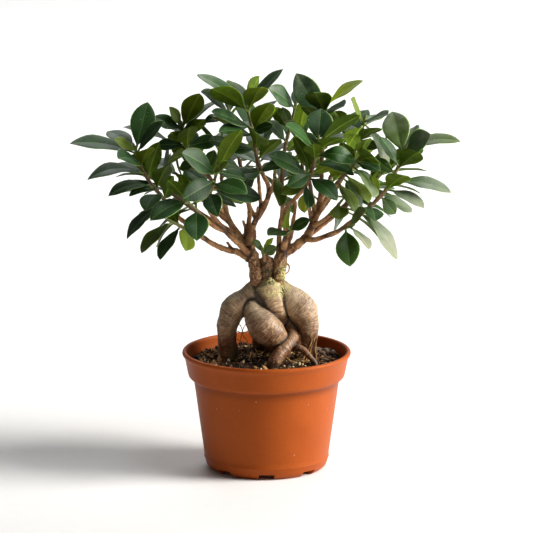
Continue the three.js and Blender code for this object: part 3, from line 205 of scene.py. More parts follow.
# Leafy shoots that show from the front: the route of the twig, the point of it where the leafy
# piece starts, and its leaves (base across and height, tip across and height, tip depth, width
# seen, below zero where the underside shows, and the height of the arch where it is strong).
shownShoots = [
    {
        "name": "shoot_far_left",
        "route": [[-10.5, 151, -1, 3.2], [-20, 156.5, -3, 2.3], [-29, 158.5, -5, 2],
            [-38, 162.5, -8, 1.8], [-46, 168, -10, 1.7], [-55, 176, -12, 1.6], [-63, 182.5, -12, 1.5],
            [-70, 191, -12, 1.4], [-75, 198, -10, 1.3], [-80, 204, -8, 1.2], [-86, 213, -4, 1.1],
            [-90, 222, 0, 1], [-92.5, 230, 2, 0.9]],
        "leafy": 7,
        "leaves": [[-92, 228, -139, 235, -10, 10, 4], [-92, 231, -113, 244.5, 26, 11],
            [-91.6, 230, -84, 265.4, 10, 18], [-92.5, 229, -107.8, 237.6, -12, 7],
            [-91, 228, -72, 250.7, -8, 8], [-89.6, 219, -104.4, 224, -26, 9],
            [-89, 218.6, -82.3, 231.7, -22, -10], [-84, 210, -75.7, 236.6, 18, -12],
            [-86.5, 212, -126.6, 208.8, -8, 9, 6.5], [-85, 211, -115, 219, 24, 8, 2.5],
            [-79.5, 203, -111.7, 196.7, -14, 8, 5.5], [-78, 201, -97, 197, -30, 6, 4],
            [-77.6, 201.6, -69.5, 218.6, -22, -12], [-72, 194, -66, 212, 24, -10],
            [-71, 192, -98.5, 166, -14, 8, 3], [-75, 198, -85, 186, -28, 12, 4]],
    },
    {
        "name": "shoot_upper_left",
        "route": [[-11.4, 154, 0, 2.8], [-15, 162, 3, 1.9], [-19, 169, 6, 1.7], [-24, 176, 10, 1.6],
            [-28, 184, 14, 1.7], [-31, 196, 18, 1.7], [-40, 210, 22, 1.5], [-49, 221, 22, 1.3],
            [-56, 231, 20, 1.2], [-59, 240, 18, 1], [-60, 247, 16, 0.9]],
        "leafy": 5,
        "leaves": [[-60, 246, -80.5, 254.3, -26, 10], [-59, 240, -82, 250.7, 22, 7, 4],
            [-59, 246, -47, 271.3, -14, -15], [-60, 247, -69, 262, -10, 7], [-58, 244, -35, 266.6, 18, 6],
            [-57, 231, -54, 247, -28, -14], [-58, 234, -68, 243, -28, -10], [-54, 228, -33, 239, 16, 8],
            [-58, 238, -44, 253, -20, -10], [-53, 227, -70, 222, -28, -8], [-41, 211, -30, 226, 26, -9],
            [-57, 234, -34, 238.5, 6, 11],
            [-53, 227, -68, 232.5, 14, -9], [-49, 221, -62, 218, 16, 8], [-57, 235, -79, 234, -2, 9],
            [-44, 214, -37, 231, 8, 9]],
    },
    {
        "name": "shoot_front_left",
        "route": [[-11.4, 154, -2, 2.8], [-18, 161, -6, 2], [-24, 166.5, -11, 1.8], [-30, 173, -16, 1.7],
            [-38, 183, -22, 1.7], [-41.5, 191, -27, 1.5], [-40, 198.5, -31, 1.3], [-37, 207, -34, 1.1],
            [-35, 214, -36, 0.9]],
        "leafy": 5,
        "leaves": [[-36, 212.5, -59.5, 228, -22, 14], [-37, 208, -59, 194.4, -24, 16, 4],
            [-35, 213.5, -17.5, 244.5, -4, -13], [-35, 214, -26.4, 220.4, -14, 5],
            [-37.6, 205.5, -13.4, 198.5, -24, 12, 4], [-38.5, 202, -3.7, 195.5, 8, 13, 1],
            [-40, 198.4, -34.1, 181.9, -27, 14, 5], [-39, 201, -58, 216, 22, 9],
            [-41, 194.5, -22, 190.5, 26, 8], [-41.4, 195.5, -51, 197, -8, 4],
            [-35, 214, -14, 209, 4, 9]],
    },
    {
        "name": "shoot_low_left",
        "route": [[-43, 165.4, -9, 1.5], [-48, 169, -15, 1.4], [-55, 172.6, -23, 1.3],
            [-61, 175.5, -29, 1.1], [-67, 178.6, -33, 0.9]],
        "leafy": 1,
        "leaves": [[-66, 178.2, -88, 155.8, -16, 9, 3], [-65, 177.5, -77, 161.4, 24, 5],
            [-60, 175, -74.9, 151, -22, 9], [-58, 173.6, -57, 157.4, -30, 11], [-62, 176, -71, 192, 18, -9]],
    },
    {
        "name": "shoot_left_inner",
        "route": [[-28, 171.4, -14, 1.6], [-36, 174.5, -22, 1.5], [-44, 181, -31, 1.4],
            [-50, 187.5, -37, 1.2], [-56, 193, -41, 0.9]],
        "leafy": 2,
        "leaves": [[-55, 192, -81.4, 179, -22, 13, 5], [-49, 186.5, -49, 164.6, -22, 18, 4],
            [-56, 193, -69, 208, -24, -10], [-56, 193, -61, 213, 20, -9]],
    },
    {
        "name": "shoot_top_left",
        "route": [[-11.2, 153, 0, 3.4], [-12.6, 163, 1, 2.5], [-11, 171, 1, 2.1], [-8.4, 178, 0, 1.9],
            [-5.2, 183, -1, 1.9], [-1, 190.5, -2, 1.8], [1.6, 199, -3, 1.7], [1, 205.5, -4, 1.6],
            [-2.4, 212.5, -4, 1.5], [-6, 222, -4, 1.4], [-8, 231, -3, 1.3], [-9.5, 243, -2, 1.1],
            [-12, 254, 0, 1], [-13.5, 261, 2, 0.9]],
        "leafy": 8,
        "leaves": [[-13, 260, -49.3, 285, 6, 9], [-13.5, 261, -27, 281.5, 30, 9],
            [-13, 260, -5, 284.5, 27, -8], [-13, 259, -3.4, 275.2, -30, -15],
            [-12.4, 258, 12, 289.2, -4, 8], [-13, 258.3, -38.9, 274.3, -22, -14],
            [-11.6, 252, 7.8, 266.5, 26, 6], [-9.7, 243, 2.8, 263.7, -24, -14], [-9, 240, 8, 261, 14, -7],
            [-10, 246, -38.9, 257.8, -18, 8, 1], [-9, 240, -33.7, 243, -24, 9, 3],
            [-8, 231, -8, 243, -36, -15], [-6, 223, 9.9, 238, -26, -9],
            [-3.4, 215, -22, 211, -28, 10, 0.5], [-3.4, 216, 12, 218, -26, 9, 3],
            [-5, 220, -24, 230, 24, 9], [-8, 231, -27, 231, -10, 9],
            [-9.5, 243, 5, 248, -12, 8], [-5, 219, -16, 202, 22, 10]],
    },
    {
        "name": "shoot_centre_bud",
        "route": [[0.4, 197, -3, 1.4], [4.4, 204, -8, 1.2], [5.6, 211, -12, 1.1], [6, 216, -14, 0.9]],
        "leafy": 2,
        "leaves": [[5.8, 212, 9, 189.5, -24, 9], [6, 215, 18, 229, -22, 8]],
    },
    {
        "name": "shoot_top_back_left",
        "route": [[-12.6, 164, 1.5, 2], [-13, 173, 5, 1.8], [-12, 184, 9, 1.6], [-13, 194, 12, 1.5],
            [-16, 209, 18, 1.4], [-20, 226, 26, 1.2], [-24.4, 244, 31, 1.1], [-26.5, 257, 33, 0.9]],
        "leafy": 3,
        "leaves": [[-26.5, 257, -46.5, 272.7, -22, 7], [-26, 253, -44.6, 250, -28, 6, 3],
            [-24.4, 243, -36, 254, -26, -9], [-26.5, 257, -21, 273, 24, 9], [-22, 234, -41, 238, 22, 9],
            [-19, 222, -3, 236, 24, -9], [-24, 242, -8, 252, 26, 8], [-18, 217, -35, 222, -10, 9]],
    },
    {
        "name": "shoot_centre_back",
        "route": [[9.8, 154, 0, 3], [9, 164, 3, 1.8], [9.4, 174, 6, 1.5], [11, 184, 8, 1.5],
            [11.4, 195, 11, 1.6], [11, 212, 17, 1.4], [13, 232, 23, 1.2], [17, 248, 27, 1.1],
            [20, 261, 29, 0.9]],
        "leafy": 4,
        "leaves": [[20, 261, 1.2, 275.5, -26, 12], [16.6, 247, 5, 262, -26, -10],
            [15, 240, 5, 258, 20, 7], [14, 236, 0.7, 251.6, -26, 8],
            [20, 261, 27, 278, 24, 10], [13, 230, 29, 240, 24, -9], [11.4, 219, -4, 228, 24, 9],
            [11, 210, 25, 217, 26, 8], [17, 248, 11, 262, 0, 8]],
    },
    {
        "name": "shoot_front_centre",
        "route": [[10.6, 155, 0, 3.2], [13.2, 164, -4, 2.1], [13.6, 173, -8, 1.8], [13, 182, -11, 1.8],
            [14.6, 188.6, -14, 1.7], [19.4, 194.4, -18, 1.5], [26.2, 202.5, -22, 1.4],
            [29.4, 208.6, -25, 1.3], [32.5, 217, -28, 1.2], [34.5, 226, -30, 1.1], [36, 235, -31, 0.9]],
        "leafy": 6,
        "leaves": [[36, 235, 38.3, 260, 12, 19], [36, 234.2, 66, 255, 12, -10],
            [35.4, 232, 11.6, 250.5, 18, -6], [34.8, 228, 13, 247.5, -22, 7],
            [34.2, 224, 32.5, 236, -37, -18], [31.5, 214, 19, 240, -14, -9], [35, 228, 53, 238, -28, -9],
            [34.4, 225, 62.7, 220.8, -22, 12, 10], [33, 219, 62, 212, 14, 9, 5],
            [31, 213, 51.6, 221.8, -26, -9], [30, 209.6, 49.7, 193.7, -22, 12, 4],
            [30.4, 211, 1, 226.5, -14, 12], [31.2, 213.5, 14.3, 204, -32, 11, 3],
            [27.6, 205, 10, 198, -14, 9], [27.4, 204.6, 29, 188, -26, 8]],
    },
    {
        "name": "shoot_neck_sprout",
        "route": [[-1, 148, -5, 1.3], [-2, 153.4, -8.6, 1.1], [-2.6, 156.6, -10.4, 0.9]],
        "leafy": 1,
        "leaves": [[-2.4, 155.4, 7, 160.4, -8, 8], [-2.6, 156.6, 5, 167, 2, -4],
            [-2.6, 156.6, -9.4, 165.6, -4, 5]],
    },
    {
        "name": "shoot_stump_sprout",
        "route": [[13.4, 166, -5, 1.3], [15.4, 169.6, -9, 1.1], [16.6, 172.6, -11, 0.9]],
        "leafy": 1,
        "leaves": [[16.4, 172, 31, 180, -10, 8.5], [16.6, 172.6, 17, 189, -4, -6],
            [15.6, 170, 1, 168.6, -14, 7]],
    },
    {
        "name": "shoot_inner_right",
        "route": [[34.8, 182, 0, 1.9], [33, 192, 2, 1.6], [31.6, 200, 4, 1.5], [30.6, 208, 7, 1.2],
            [29, 216, 10, 0.9]],
        "leafy": 2,
        "leaves": [[31, 204, 27, 185, 10, -10], [30, 211, 14, 219, 26, 9], [29, 216, 42, 229, 20, -9],
            [29.4, 214, 20, 234, -16, -8]],
    },
    {
        "name": "shoot_top_right",
        "route": [[35, 184, 2, 2], [38, 195, 8, 1.8], [39, 207, 13, 1.6], [39.5, 226, 18, 1.4],
            [40.5, 246, 20, 1.2], [41.6, 262, 20, 0.9]],
        "leafy": 2,
        "leaves": [[40.6, 251, 21, 286.5, 4, 19], [40.8, 255, 33.5, 272, -34, -18],
            [41.6, 262, 68.6, 281.2, 8, -7], [41.5, 258.5, 54.7, 262, -32, 8, 0],
            [41.6, 261, 47, 249, -34, 7, 3], [41, 254, 57, 257, -26, -6], [40.5, 247, 26, 262, -26, -9],
            [39.5, 230, 58, 243, 24, 9], [39.6, 232, 23, 243, 26, 9]],
    },
    {
        "name": "shoot_mid_right",
        "route": [[32, 174.5, 0, 2], [37.6, 186, -3, 1.6], [43, 196, -6, 1.4], [48, 204, -8, 1.3],
            [54.4, 211.6, -12, 1.3], [61, 218.4, -17, 1.1], [66, 225, -21, 0.9]],
        "leafy": 3,
        "leaves": [[64, 222, 76, 224, -34, -13], [66, 225, 71, 238, -30, -9],
            [63, 220.6, 80, 215, -26, 8], [61, 218, 74.6, 195.7, -24, 6], [60, 217, 79.7, 198.2, 22, 7],
            [55, 212, 71.7, 192, -28, 9], [54, 211, 67.8, 189, 16, 8], [50, 206.5, 62, 186, -26, 9],
            [56, 213.4, 43, 217, -30, -8], [60, 217.4, 53, 236, -18, -9]],
    },
    {
        "name": "shoot_lower_right",
        "route": [[33.6, 176, -3, 1.7], [40, 179.4, -11, 1.4], [45, 184, -18, 1.2], [49, 188.6, -23, 1.1],
            [52.4, 193, -27, 0.9]],
        "leafy": 2,
        "leaves": [[51, 191.4, 51.6, 180, -35, 14], [48.6, 188, 49.6, 174, 22, 8]],
    },
    {
        "name": "shoot_low_right",
        "route": [[43, 168.8, -17, 1.5], [50, 171.6, -26, 1.3], [54.5, 173.6, -32, 1.1],
            [58.4, 175, -36, 0.9]],
        "leafy": 1,
        "leaves": [[55.5, 174, 58.6, 146, -20, 17.5, 3], [58, 174.6, 71.8, 158.6, -26, 6],
            [58.4, 175, 70, 187, -20, 7]],
    },
    {
        "name": "shoot_right",
        "route": [[36, 183.4, 0, 1.7], [45, 196, 6, 1.5], [53, 209, 10, 1.4], [60, 223, 13, 1.3],
            [65.4, 238, 13, 1.2], [69, 251, 12, 0.9]],
        "leafy": 2,
        "leaves": [[69, 250, 59.5, 267, -24, 5, 0], [69, 251, 85.8, 256, -28, 5, 0.5],
            [68.4, 249, 57.5, 233, -28, -14], [68.8, 250, 84, 214, -10, 8, 5],
            [64.6, 236, 80, 246, -26, -8], [65.4, 238, 50, 250, 24, 8], [68, 247, 82, 256, 26, 8],
            [60, 223, 76, 231, 26, -9], [57, 217, 44, 226, 27, 9], [65.4, 238, 79, 232, -16, 8]],
    },
    {
        "name": "shoot_far_right",
        "route": [[27.6, 166, -1, 2.2], [33.6, 165.4, -8, 1.8], [41, 167.8, -15, 1.7],
            [49.6, 171, -20, 1.6], [57.8, 177, -22, 1.5], [66, 183.4, -22, 1.5], [74, 190.4, -21, 1.4],
            [81.5, 198.2, -18, 1.3], [87.5, 206, -14, 1.2], [93, 218, -9, 1.1], [98, 230, -5, 0.9]],
        "leafy": 5,
        "leaves": [[96, 226, 89.2, 258.8, 16, 20], [98, 229.5, 115.6, 240.8, -28, 15],
            [98, 230, 137, 236.4, -6, 8, 4.5], [92, 216, 107, 228.4, -28, -15],
            [84, 201.4, 97.7, 211.5, -30, -13], [88, 207, 130.3, 199.5, -8, 9, 3.5],
            [84.5, 202, 111, 188.2, -18, 8, 2.5], [79, 196, 103.5, 187.5, 24, 9, 0],
            [73, 189.6, 76, 179, -32, 13], [69, 186, 92.3, 151, -4, 10, 1.5], [91, 213, 76, 224, 24, 9],
            [97, 227, 107, 249, 27, 9], [78, 195, 74, 212, 26, -9], [93, 218, 80, 240, 20, 8],
            [80, 197.4, 91, 184, 10, 10]],
    },
]

# Boughs behind the trunk, in the part's own axes: x, y, z, radius
backBoughs = [
    [[-9, 3, 150, 2.6], [-17, 16, 159.4, 1.7], [-24.5, 30, 167.4, 1.5], [-30, 41, 176, 1.4]],
    [[-9, 5, 151, 2.4], [-10.4, 20, 161, 1.8], [-8.4, 34, 170.4, 1.6], [-4, 46, 180, 1.4]],
    [[10, 3, 151, 2.6], [19.6, 15, 156.8, 1.9], [27, 28, 161.4, 1.6], [32.6, 40, 169.4, 1.4]],
]

# Shoots behind the trunk: the bough that bears it, the place on it, the shoot's tip, its leaves
hiddenShoots = [
    [0, 1.6, [-74, 34, 197], 6],
    [0, 2.3, [-62, 50, 200], 6],
    [0, 3, [-34, 51, 223], 6],
    [0, 2.7, [-64, 36, 225], 6],
    [1, 2.2, [-25, 62, 205], 6],
    [1, 3, [-8, 55, 228], 6],
    [1, 2.6, [12, 66, 201], 6],
    [2, 2.9, [23, 53, 226], 6],
    [2, 2.4, [47, 59, 199], 6],
    [2, 3, [53, 45, 222], 6],
    [2, 1.7, [76, 47, 200], 6],
    [2, 1.2, [84, 24, 210], 6],
    [0, 1.2, [-82, 18, 207], 5],
]


# A route behind the trunk sags a little between its foot and its tip, by a parabola.
def routeBehind(boughRoute, at, tip):
    foot, _, footRadius = (value[0] for value in placesOn(boughRoute, at))
    way = np.array(tip, dtype=float) - foot
    share = np.arange(layout["hiddenSpans"] + 1)[:, None] / layout["hiddenSpans"]
    points = foot + way * share
    points[:, 2] += (np.linalg.norm(way) * layout["hiddenSag"] * (share * share - share))[:, 0]
    thickest, thinnest = layout["hiddenRadii"]
    radii = min(footRadius, thickest) * (1 - share[:, 0]) + thinnest * share[:, 0]
    return {"points": points, "radii": radii}


# Blade outline: a sine of the share raised a little, blunted by a power under one.
def bladeWidth(share):
    wave = np.sin(np.pi * np.clip(share, 0, 1) ** layout["outlinePower"])
    return wave.clip(0) ** layout["outlineBluntness"]


# Leaf spine: the chord from root to tip, lifted by a parabola towards the upper face.
def spineAt(leaf, share):
    share = np.asarray(share, dtype=float)[..., None]
    chord = leaf["root"] + (leaf["tip"] - leaf["root"]) * share
    return chord + leaf["face"] * (leaf["arch"] * 4 * share * (1 - share))


# The places of a blade that are tested: rows along it and columns across it
testRows = np.arange(layout["testRows"] + 1)
testShares = layout["petioleShare"] + (1 - layout["petioleShare"]) * testRows / layout["testRows"]
testAcross = np.arange(-layout["testColumns"], layout["testColumns"] + 1) / layout["testColumns"]


def bladePoints(leaf):
    share = np.repeat(testShares, len(testAcross))
    across = np.tile(testAcross, len(testShares))
    half = leaf["width"] / 2 * bladeWidth((share - layout["petioleShare"]) / (1 - layout["petioleShare"]))
    points = spineAt(leaf, share) + leaf["side"] * (half * across)[:, None]
    points += leaf["face"] * (half * layout["bladeFold"] * np.abs(across))[:, None]
    return points, share


# A listed leaf at one try: only its depth changes, so that it stays where it is seen.
def listedLeaf(shoot, row, bend, size):
    baseX, baseHeight, tipX, tipHeight, depth, seenWidth = row[:6]
    points, _, radii = shoot["leafyPlaces"]
    height = points[:, 2] + layout["viewTilt"] * points[:, 1]
    nearest = np.argmin((points[:, 0] - baseX) ** 2 + (height - baseHeight) ** 2)
    root = points[nearest]
    reach = min(max(depth + bend, -layout["mostDepth"]), layout["mostDepth"])
    tip = root + (seen(tipX, tipHeight, root[1] + reach) - root) * size
    length = np.linalg.norm(tip - root)
    forward = (tip - root) / length
    width = min(max(length * layout["matureWidthRatio"], abs(seenWidth) * size), layout["widestBlade"])
    open_ = unit(towardViewer - forward * (towardViewer @ forward))
    edgeOn = np.cross(forward, open_)
    if edgeOn[2] < 0:
        edgeOn = -edgeOn
    facing = min(abs(seenWidth) / width, 1)
    face = unit(open_ * math.copysign(facing, seenWidth) + edgeOn * math.sqrt(1 - facing * facing))
    arch = (row[6] if len(row) > 6 else length * layout["usualArch"]) * size
    return {"root": root, "tip": tip, "face": face, "width": width, "arch": arch, "radius": radii[nearest]}


# A leaf behind the trunk at one try: it turns about its twig.
def ruledLeaf(shoot, row, bend, size):
    place, axis, radius = (value[0] for value in placesOn(shoot["route"], row["at"]))
    level = unit(np.cross([0, 0, 1], axis))
    upward = np.cross(axis, level)
    turn = row["turn"] + bend * layout["hiddenTurn"]
    forward = axis * math.cos(row["spread"]) + level * (math.sin(row["spread"]) * math.cos(turn))
    forward = forward + upward * (math.sin(row["spread"]) * math.sin(turn))
    forward[2] -= layout["hiddenDroop"]
    forward = unit(forward)
    length = row["length"] * size
    face = axis + np.array([0, 0, layout["hiddenLift"]])
    face = unit(face - forward * (face @ forward))
    tip = place + forward * length
    width, arch = length * layout["matureWidthRatio"], length * layout["hiddenArch"]
    return {"root": place, "tip": tip, "face": face, "width": width, "arch": arch, "radius": radius}


# Every shoot with its route and the leaves it asks for
boughRoutes = [
    {"points": np.array([row[:3] for row in rows], dtype=float), "radii": np.array([row[3] for row in rows])}
    for rows in backBoughs
]
shoots = [
    {"name": one["name"], "route": routeOf(one["route"]), "leafy": one["leafy"], "wanted": one["leaves"],
     "make": listedLeaf}
    for one in shownShoots
]
for number, (bough, at, tip, leafCount) in enumerate(hiddenShoots):
    route = routeBehind(boughRoutes[bough], at, tip)
    last = len(route["points"]) - 1
    leafy = math.floor(last * layout["hiddenWoodShare"] + 0.5)
    firstTurn = draw(0, 2 * math.pi)
    firstLeaf = layout["hiddenFirstLeaf"]
    wanted = [
        {
            "at": leafy + firstLeaf + (last - leafy - firstLeaf) * k / (leafCount - 1),
            "turn": firstTurn + k * goldenAngle,
            "spread": layout["hiddenSpread"][0] - layout["hiddenSpread"][1] * k / (leafCount - 1),
            "length": draw(layout["shortestHiddenLeaf"], layout["longestHiddenLeaf"]),
        }
        for k in range(leafCount)
    ]
    name = f"shoot_back_{number + 1:02d}"
    shoots.append({"name": name, "route": route, "leafy": leafy, "wanted": wanted, "make": ruledLeaf})

# What a blade keeps clear of: points along the wood and the twigs
rootRoutes = [routeOf(rows) for rows in roots]
trunkRoutes = [routeOf(rows) for rows in trunk]
bareRoutes = [routeOf(rows) for rows in bareTwigs]
beadPoints, beadRadii, beadOwners = [], [], []


def addBeads(route, start, end, owner):
    points, _, radii = placesAlong(route, start, end, layout["beadsPerSpan"])
    beadPoints.append(points)
    beadRadii.append(radii)
    beadOwners.append(np.full(len(points), owner))


for route in trunkRoutes + bareRoutes + boughRoutes:
    addBeads(route, 0, len(route["points"]) - 1, -1)
for number, shoot in enumerate(shoots):
    end = len(shoot["route"]["points"]) - 1
    addBeads(shoot["route"], 0, shoot["leafy"], -1)
    addBeads(shoot["route"], shoot["leafy"], end, number)
    firstPlace = shoot["leafy"] + layout["firstPlace"]
    shoot["leafyPlaces"] = placesAlong(shoot["route"], firstPlace, end, layout["placesPerSpan"])
beadPoints, beadRadii = np.concatenate(beadPoints), np.concatenate(beadRadii)
beadOwners = np.concatenate(beadOwners)
grown = []


# Whether a blade keeps clear of the wood, the twigs and the leaves grown so far. It may come near its
# own twig and its siblings at its foot.
def isClear(points, share, middle, reach, number):
    near = beadRadii + layout["stemClearance"]
    close = np.linalg.norm(beadPoints - middle, axis=1) <= reach + near
    apart = np.linalg.norm(points[:, None] - beadPoints[close][None], axis=2)
    tooNear = apart < near[close][None]
    tooNear &= ~((beadOwners[close][None] == number) & (share[:, None] < layout["siblingFree"]))
    if tooNear.any():
        return False
    for other in grown:
        if np.linalg.norm(middle - other["middle"]) > reach + other["reach"] + layout["leafClearance"]:
            continue
        sibling = other["number"] == number
        near = layout["siblingClearance"] if sibling else layout["leafClearance"]
        mine = points[share >= layout["siblingFree"]] if sibling else points
        theirs = other["points"][other["share"] >= layout["siblingFree"]] if sibling else other["points"]
        if (np.linalg.norm(mine[:, None] - theirs[None], axis=2) < near).any():
            return False
    return True


def growLeaf(shoot, number, row):
    for size in layout["sizes"]:
        for bend in layout["bends"]:
            one = shoot["make"](shoot, row, bend, size)
            one["side"] = unit(np.cross(one["tip"] - one["root"], one["face"]))
            points, share = bladePoints(one)
            middle = one["root"] + (one["tip"] - one["root"]) * layout["bladeMiddle"]
            reach = np.linalg.norm(points - middle, axis=1).max()
            if isClear(points, share, middle, reach, number):
                grown.append({
                    "points": points, "share": share, "middle": middle, "reach": reach, "number": number,
                })
                return one
    return None


for number, shoot in enumerate(shoots):
    made = [growLeaf(shoot, number, row) for row in shoot["wanted"]]
    shoot["leaves"] = [dict(one, row=place) for place, one in enumerate(made) if one]
report(f"{sum(len(shoot['leaves']) for shoot in shoots)} leaves on {len(shoots)} shoots laid out")


# sRGB hex to linear light, with full opacity
def linear(hexColour):
    value = np.array([int(hexColour[i:i + 2], 16) / 255 for i in (1, 3, 5)])
    value = np.where(value <= 0.04045, value / 12.92, ((value + 0.055) / 1.055) ** 2.4)
    return (*value.tolist(), 1.0)


# Adds a node, sets its settings, and fills its inputs with values or links.
def addNode(tree, kind, inputs=None, **settings):
    node = tree.nodes.new("ShaderNode" + kind)
    for name, value in settings.items():
        setattr(node, name, value)
    for name, value in (inputs or {}).items():
        if isinstance(value, bpy.types.NodeSocket):
            tree.links.new(value, node.inputs[name])
        else:
            node.inputs[name].default_value = value
    return node


# Lays colours over a base, one by one. A layer is how much it covers, its colour, and one or more
# fields, each with the value where the layer is absent and the value where it is full. The shares
# of several fields multiply.
def layered(tree, base, layers):
    for cover, colour, *fields in layers:
        share = cover
        for field, absent, full in fields:
            share = addNode(tree, "MapRange", {0: field, 1: absent, 2: full, 3: 0.0, 4: share}).outputs[0]
        base = addNode(tree, "Mix", {0: share, 6: base, 7: linear(colour)}, data_type="RGBA").outputs[2]
    return base


def newMaterial(name):
    material = bpy.data.materials.new(name)
    material.use_nodes = True
    material.node_tree.nodes.clear()
    return material, material.node_tree


def closeMaterial(material, shaderInputs):
    shader = addNode(material.node_tree, "BsdfPrincipled", shaderInputs)
    addNode(material.node_tree, "OutputMaterial", {"Surface": shader.outputs[0]})
    return material


# A mesh from points in millimetres and arrays of faces with three or four corners
def makePiece(name, points, faces):
    corners = np.concatenate([block.ravel() for block in faces]).astype(np.int32)
    sizes = np.concatenate([np.full(len(block), block.shape[1]) for block in faces])
    mesh = bpy.data.meshes.new(name)
    mesh.vertices.add(len(points))
    mesh.vertices.foreach_set("co", inRoom(points).astype(np.float32).ravel())
    mesh.loops.add(len(corners))
    mesh.loops.foreach_set("vertex_index", corners)
    mesh.polygons.add(len(sizes))
    mesh.polygons.foreach_set("loop_start", (np.cumsum(sizes) - sizes).astype(np.int32))
    mesh.polygons.foreach_set("use_smooth", np.ones(len(sizes), dtype=bool))
    mesh.update(calc_edges=True)
    piece = bpy.data.objects.new(name, mesh)
    bpy.context.scene.collection.objects.link(piece)
    return piece


def dress(piece, node, slot, *materials):
    for material in materials:
        piece.data.materials.append(material)
    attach(piece, "root")
    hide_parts(node)


def setAttribute(piece, name, values):
    kind, part = ("FLOAT_VECTOR", "vector") if np.ndim(values) == 2 else ("FLOAT", "value")
    field = piece.data.attributes.new(name, kind, "POINT")
    field.data.foreach_set(part, np.asarray(values, np.float32).ravel())


# Quads between neighbouring closed rings; they face out where a ring turns from the first to the
# second side vector of its path.
def ringFaces(rings, around):
    i, k = np.meshgrid(np.arange(rings - 1), np.arange(around), indexing="ij")
    a = i * around + k
    b = i * around + (k + 1) % around
    return np.stack([a, b, b + around, a + around], axis=-1).reshape(-1, 4)


# Fans that close the first and the last ring on the two points after the rings
def poleFaces(rings, around):
    k = np.arange(around)
    following = (k + 1) % around
    startPole = np.full(around, rings * around)
    lastRing = (rings - 1) * around
    return np.concatenate([
        np.stack([startPole, following, k], axis=-1),
        np.stack([startPole + 1, lastRing + k, lastRing + following], axis=-1),
    ])


# Side vectors along a path: square to the tangent, and measured from the axis that it leans on least
def sideVectors(tangents):
    reference = np.eye(3)[np.argmin(np.abs(tangents).max(axis=0))]
    second = unit(np.cross(tangents, reference))
    return np.cross(second, tangents), second


endDome = 0.5  # height of a stem's end, as a share of its radius


# A round stem along a path, closed at both ends by a shallow dome
def stemMesh(points, tangents, radii, around):
    first, second = sideVectors(tangents)
    angle = 2 * np.pi * np.arange(around) / around
    cosine, sine = np.cos(angle)[None, :, None], np.sin(angle)[None, :, None]
    ring = cosine * first[:, None] + sine * second[:, None]
    skin = (points[:, None] + ring * radii[:, None, None]).reshape(-1, 3)
    domes = tangents[[0, -1]] * radii[[0, -1], None] * endDome
    poles = np.stack([points[0] - domes[0], points[-1] + domes[1]])
    rings = len(points)
    return np.concatenate([skin, poles]), [ringFaces(rings, around), poleFaces(rings, around)]


# Several meshes as one: points end to end, faces counted on
def gather(parts):
    points, faces, start = [], [], 0
    for partPoints, partFaces in parts:
        points.append(partPoints)
        faces += [block + start for block in partFaces]
        start += len(partPoints)
    return np.concatenate(points), faces


noise = {
    "waves": 8,
    "spread": (0.65, 1.5),  # the shortest and the longest wave, as shares of the wavelength
}


# Soft noise: sines of about one wavelength over random directions, summed and evened out
def ripples(points, wavelength, seed):
    source = np.random.default_rng(seed)
    count = noise["waves"]
    lengths = wavelength * source.uniform(*noise["spread"], (count, 1))
    ways = unit(source.normal(size=(count, 3))) * 2 * np.pi / lengths
    return np.sin(points @ ways.T + source.uniform(0, 2 * np.pi, count)).sum(axis=1) / math.sqrt(count)


def smoothStep(low, high, value):
    t = np.clip((np.asarray(value, dtype=float) - low) / (high - low), 0, 1)
    return t * t * (3 - 2 * t)


# Pot: a matte, injection-moulded plastic nursery pot with a rolled lip
pot = {
    # radius and height in mm, from the ring that it stands on, up the outside and down the inside
    "profile": [
        (36.2, 4), (36, 3), (36, 0.5), (36.5, 0), (39.3, 0), (40.3, 0.6), (42.6, 2.8), (43.1, 3.6),
        (43.5, 5), (44.05, 7.4), (44.5, 8.1), (44.5, 8.7), (44.2, 9.3), (46.2, 24), (48.2, 38),
        (50.1, 52), (51.6, 62.6), (51.9, 63.8), (52.6, 64.9), (54.7, 66.3), (55.5, 67.2), (55.9, 68.6),
        (57.4, 76), (58.1, 79.2), (58.5, 80.6), (59.4, 81.7), (59.9, 82.5), (60, 83.3), (59.85, 84.2),
        (59.4, 84.8), (58.7, 85), (57.7, 84.95), (57, 84.4), (56.8, 83.4), (56.4, 78.6), (54.9, 72.4),
        (53.9, 69), (53, 66.6), (51.2, 65.5), (50.3, 64.6), (48.2, 50), (45.4, 28), (42.9, 9.6),
        (42.2, 7), (41, 5.9), (39.4, 5.8), (20, 5.8),
    ],
    "notches": 8,
    "notchWidth": 10,
    "notchHeight": 4,
    "notchRadius": 38,
    "drainHoles": 4,
    "drainRadius": 3.5,
    "drainRing": 24,
    "floorUnder": 4,
    "floorTop": 5.8,
    "drillTop": 9,
    "drillSides": 32,
    "segments": 192,
    "profileStep": 4,
    "flanks": [-1.02, -0.98, 0.98, 1.02],  # the angles beside a notch's edges, in half notches
    "leastTurn": 0.006,  # radians between two columns of points
    "sharpAngle": 42,
}


# Points between the corners of a profile, so that no span is longer than the step
def finerProfile(profile, step):
    corners = np.array(profile, dtype=float)
    spans = np.linalg.norm(np.diff(corners, axis=0), axis=1)
    counts = np.maximum(np.ceil(spans / step).astype(int), 1)
    parts = [
        a + (b - a) * (np.arange(n) / n)[:, None] for a, b, n in zip(corners[:-1], corners[1:], counts)
    ]
    return np.concatenate(parts + [corners[-1:]])


